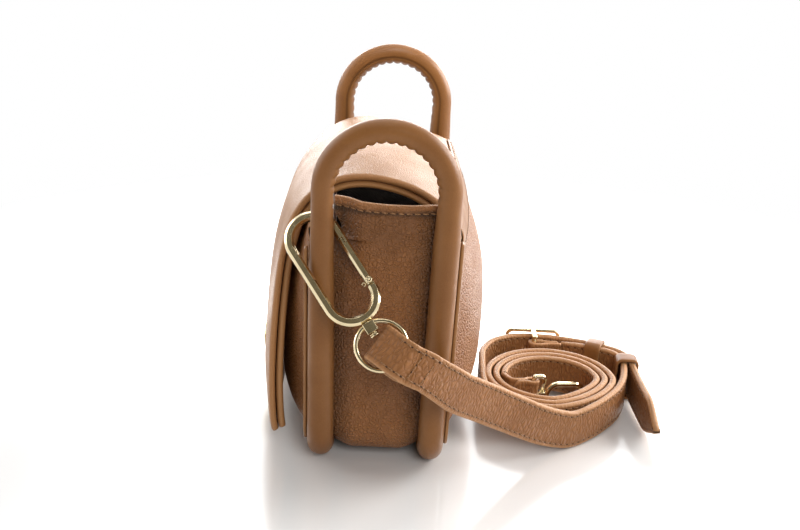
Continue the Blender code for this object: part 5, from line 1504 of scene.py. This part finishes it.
eye = arc((0.0, 0.0), BAR_RADIUS + GAP + TONGUE_RADIUS, math.radians(130.0), math.radians(-150.0), 22)
tongue_line = [Vector((x, y, 0.0)) for x, y in eye]
reach = FRAME_X - BAR.x - FRAME_WIRE - GAP - TONGUE_RADIUS
tongue_line += through([tongue_line[-1]] + [Vector((x, y, 0.0)) for x, y in (
    (reach * 0.55, -0.0035), (reach * 0.95, -0.0070), (reach, -FRAME_HALF - FRAME_WIRE))], 8)[1:]
wire("buckle_tongue_gold", [BAR + p for p in tongue_line], circle(TONGUE_RADIUS, 14), UP, "tongue",
     ["buckle_tongue"])
print("buckle frame", 2000 * FRAME_HALF, "by", round(2000 * rail, 1), "mm")

# %% Keeper loops
KEEPER_WALL, KEEPER_WIDTH, KEEPER_DEPTH = 0.0013, 0.0090, 0.0100
# The leather's outline: share across, share of its wall, and wear
KEEPER_EDGE = ((-1.0, 0.0, 1.0), (-0.97, 0.75, 1.0), (-0.86, 1.0, 0.6), (-0.6, 1.0, 0.1), (0.0, 1.1, 0.0),
               (0.6, 1.0, 0.1), (0.86, 1.0, 0.6), (0.97, 0.75, 1.0), (1.0, 0.0, 1.0), (0.95, -0.8, 0.8),
               (0.6, -1.0, 0.2), (0.0, -1.0, 0.0), (-0.6, -1.0, 0.2), (-0.95, -0.8, 0.8))
for name, x, y, angle in (("inner_keeper", -0.0166, 0.1200, -24.0), ("outer_keeper", 0.0010, 0.1352, 89.0)):
    axes = Matrix.Rotation(math.radians(angle), 3, "Z")
    outline = rounded_outline((KEEPER_DEPTH + KEEPER_WALL) / 2, (STRAP_WIDTH + KEEPER_WALL) / 2 + GAP,
                              0.0030, 7)
    rings = []
    for k, (a, b) in enumerate(outline):
        before, after = outline[k - 1], outline[(k + 1) % len(outline)]
        out = Vector((after[1] - before[1], before[0] - after[0])).normalized()
        ring = []
        for s, h, c in KEEPER_EDGE:
            lift = h * KEEPER_WALL / 2 + (0.0004 * abs(out.y) if h > 0 else 0.0)
            ring.append((a + out.x * lift, s * KEEPER_WIDTH / 2, b + out.y * lift))
        rings.append(placed(ring, axes, floor_spot(x, y)))
    worn = [0.35 * c for s, h, c in KEEPER_EDGE] * len(rings)
    paint = {"worn": worn, "deep": [0.0] * len(worn)}
    ringed(name + "_leather", rings, "smooth", "bag", [name], paint, closed=True)
print("keepers:", KEEPER_WIDTH * 1000, "mm wide")

# %% [markdown]
# ## Inside
# The inside has a slip pocket of the dark cloth on the back panel and a stiff board on
# the bottom. The board, the cords inside the rolls and the two snap discs keep the
# frame's own shapes and only get finishes.

# %% Pocket
POCKET_WALL = 0.0012
INWARD = Vector((0.0, -1.0, 0.0))


def pocket_spot(share, across):
    """Gives the pocket's outer face, just inside the back panel."""
    p = panel_point(1.0, BACK_TOP_Z, BACK_BULGE, BACK_FULL, share, across)
    return p + INWARD * (PANEL_WALL * 1.16 + GAP + 0.0004)


pocket = [[pocket_spot(lerp(0.16, 0.70, i / 26), lerp(-0.62, 0.62, k / 30)) for k in range(31)]
          for i in range(27)]
hide_sheet("inner_pocket_cloth", pocket, POCKET_WALL, "lining", "bag", ["inner_pocket"])
hem = [(Vector((p.x * 0.97, p.y - POCKET_WALL, p.z - 0.003)), INWARD) for p in pocket[-1]]
stitches("pocket_stitches", [hem], "bag", thread=0.00025)
print("pocket is", round((pocket[0][-1] - pocket[0][0]).length * 1000), "mm wide")

# %% Board, cords and snap discs
FINISHES["board"] = patterned("card_board", lambda tree, where: noise_of(
    tree, add(tree, "Mapping", {"Vector": where, "Scale": (0.2, 1.0, 1.0)}).outputs[0], 0.0006, 4.0),
    ((0.24, 0.19, 0.14), (0.40, 0.33, 0.25)), (0.75, 0.92), 0.00008, ends=(0.2, 0.8))
FINISHES["filler"] = patterned("filler_felt", bands(180.0, 6.0, "DIAGONAL"),
                               ((0.50, 0.47, 0.41), (0.72, 0.70, 0.64)), (0.95, 0.85), 0.0002)
KEPT = {"base_board": "board", "flap_snap": "gold", "panel_snap": "gold"}
KEPT.update({roll + "_core": "filler" for roll in ("near_handle", "far_handle", "front_roll", "back_roll")})
for name, finish in KEPT.items():
    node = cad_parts[name]
    node.data.materials.clear()
    node.data.materials.append(FINISHES[finish])
    edge = node.modifiers.new("edges", "BEVEL")
    edge.width, edge.segments, edge.limit_method = 0.0002, 2, "ANGLE"
print("frame nodes that stay:", sorted(KEPT))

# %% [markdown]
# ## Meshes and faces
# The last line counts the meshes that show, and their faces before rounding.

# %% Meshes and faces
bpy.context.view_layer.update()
shown = [o for o in bpy.context.scene.objects if o.type == "MESH" and not o.hide_render]
print(len(shown), "meshes,", sum(len(o.data.polygons) for o in shown), "faces before rounding")
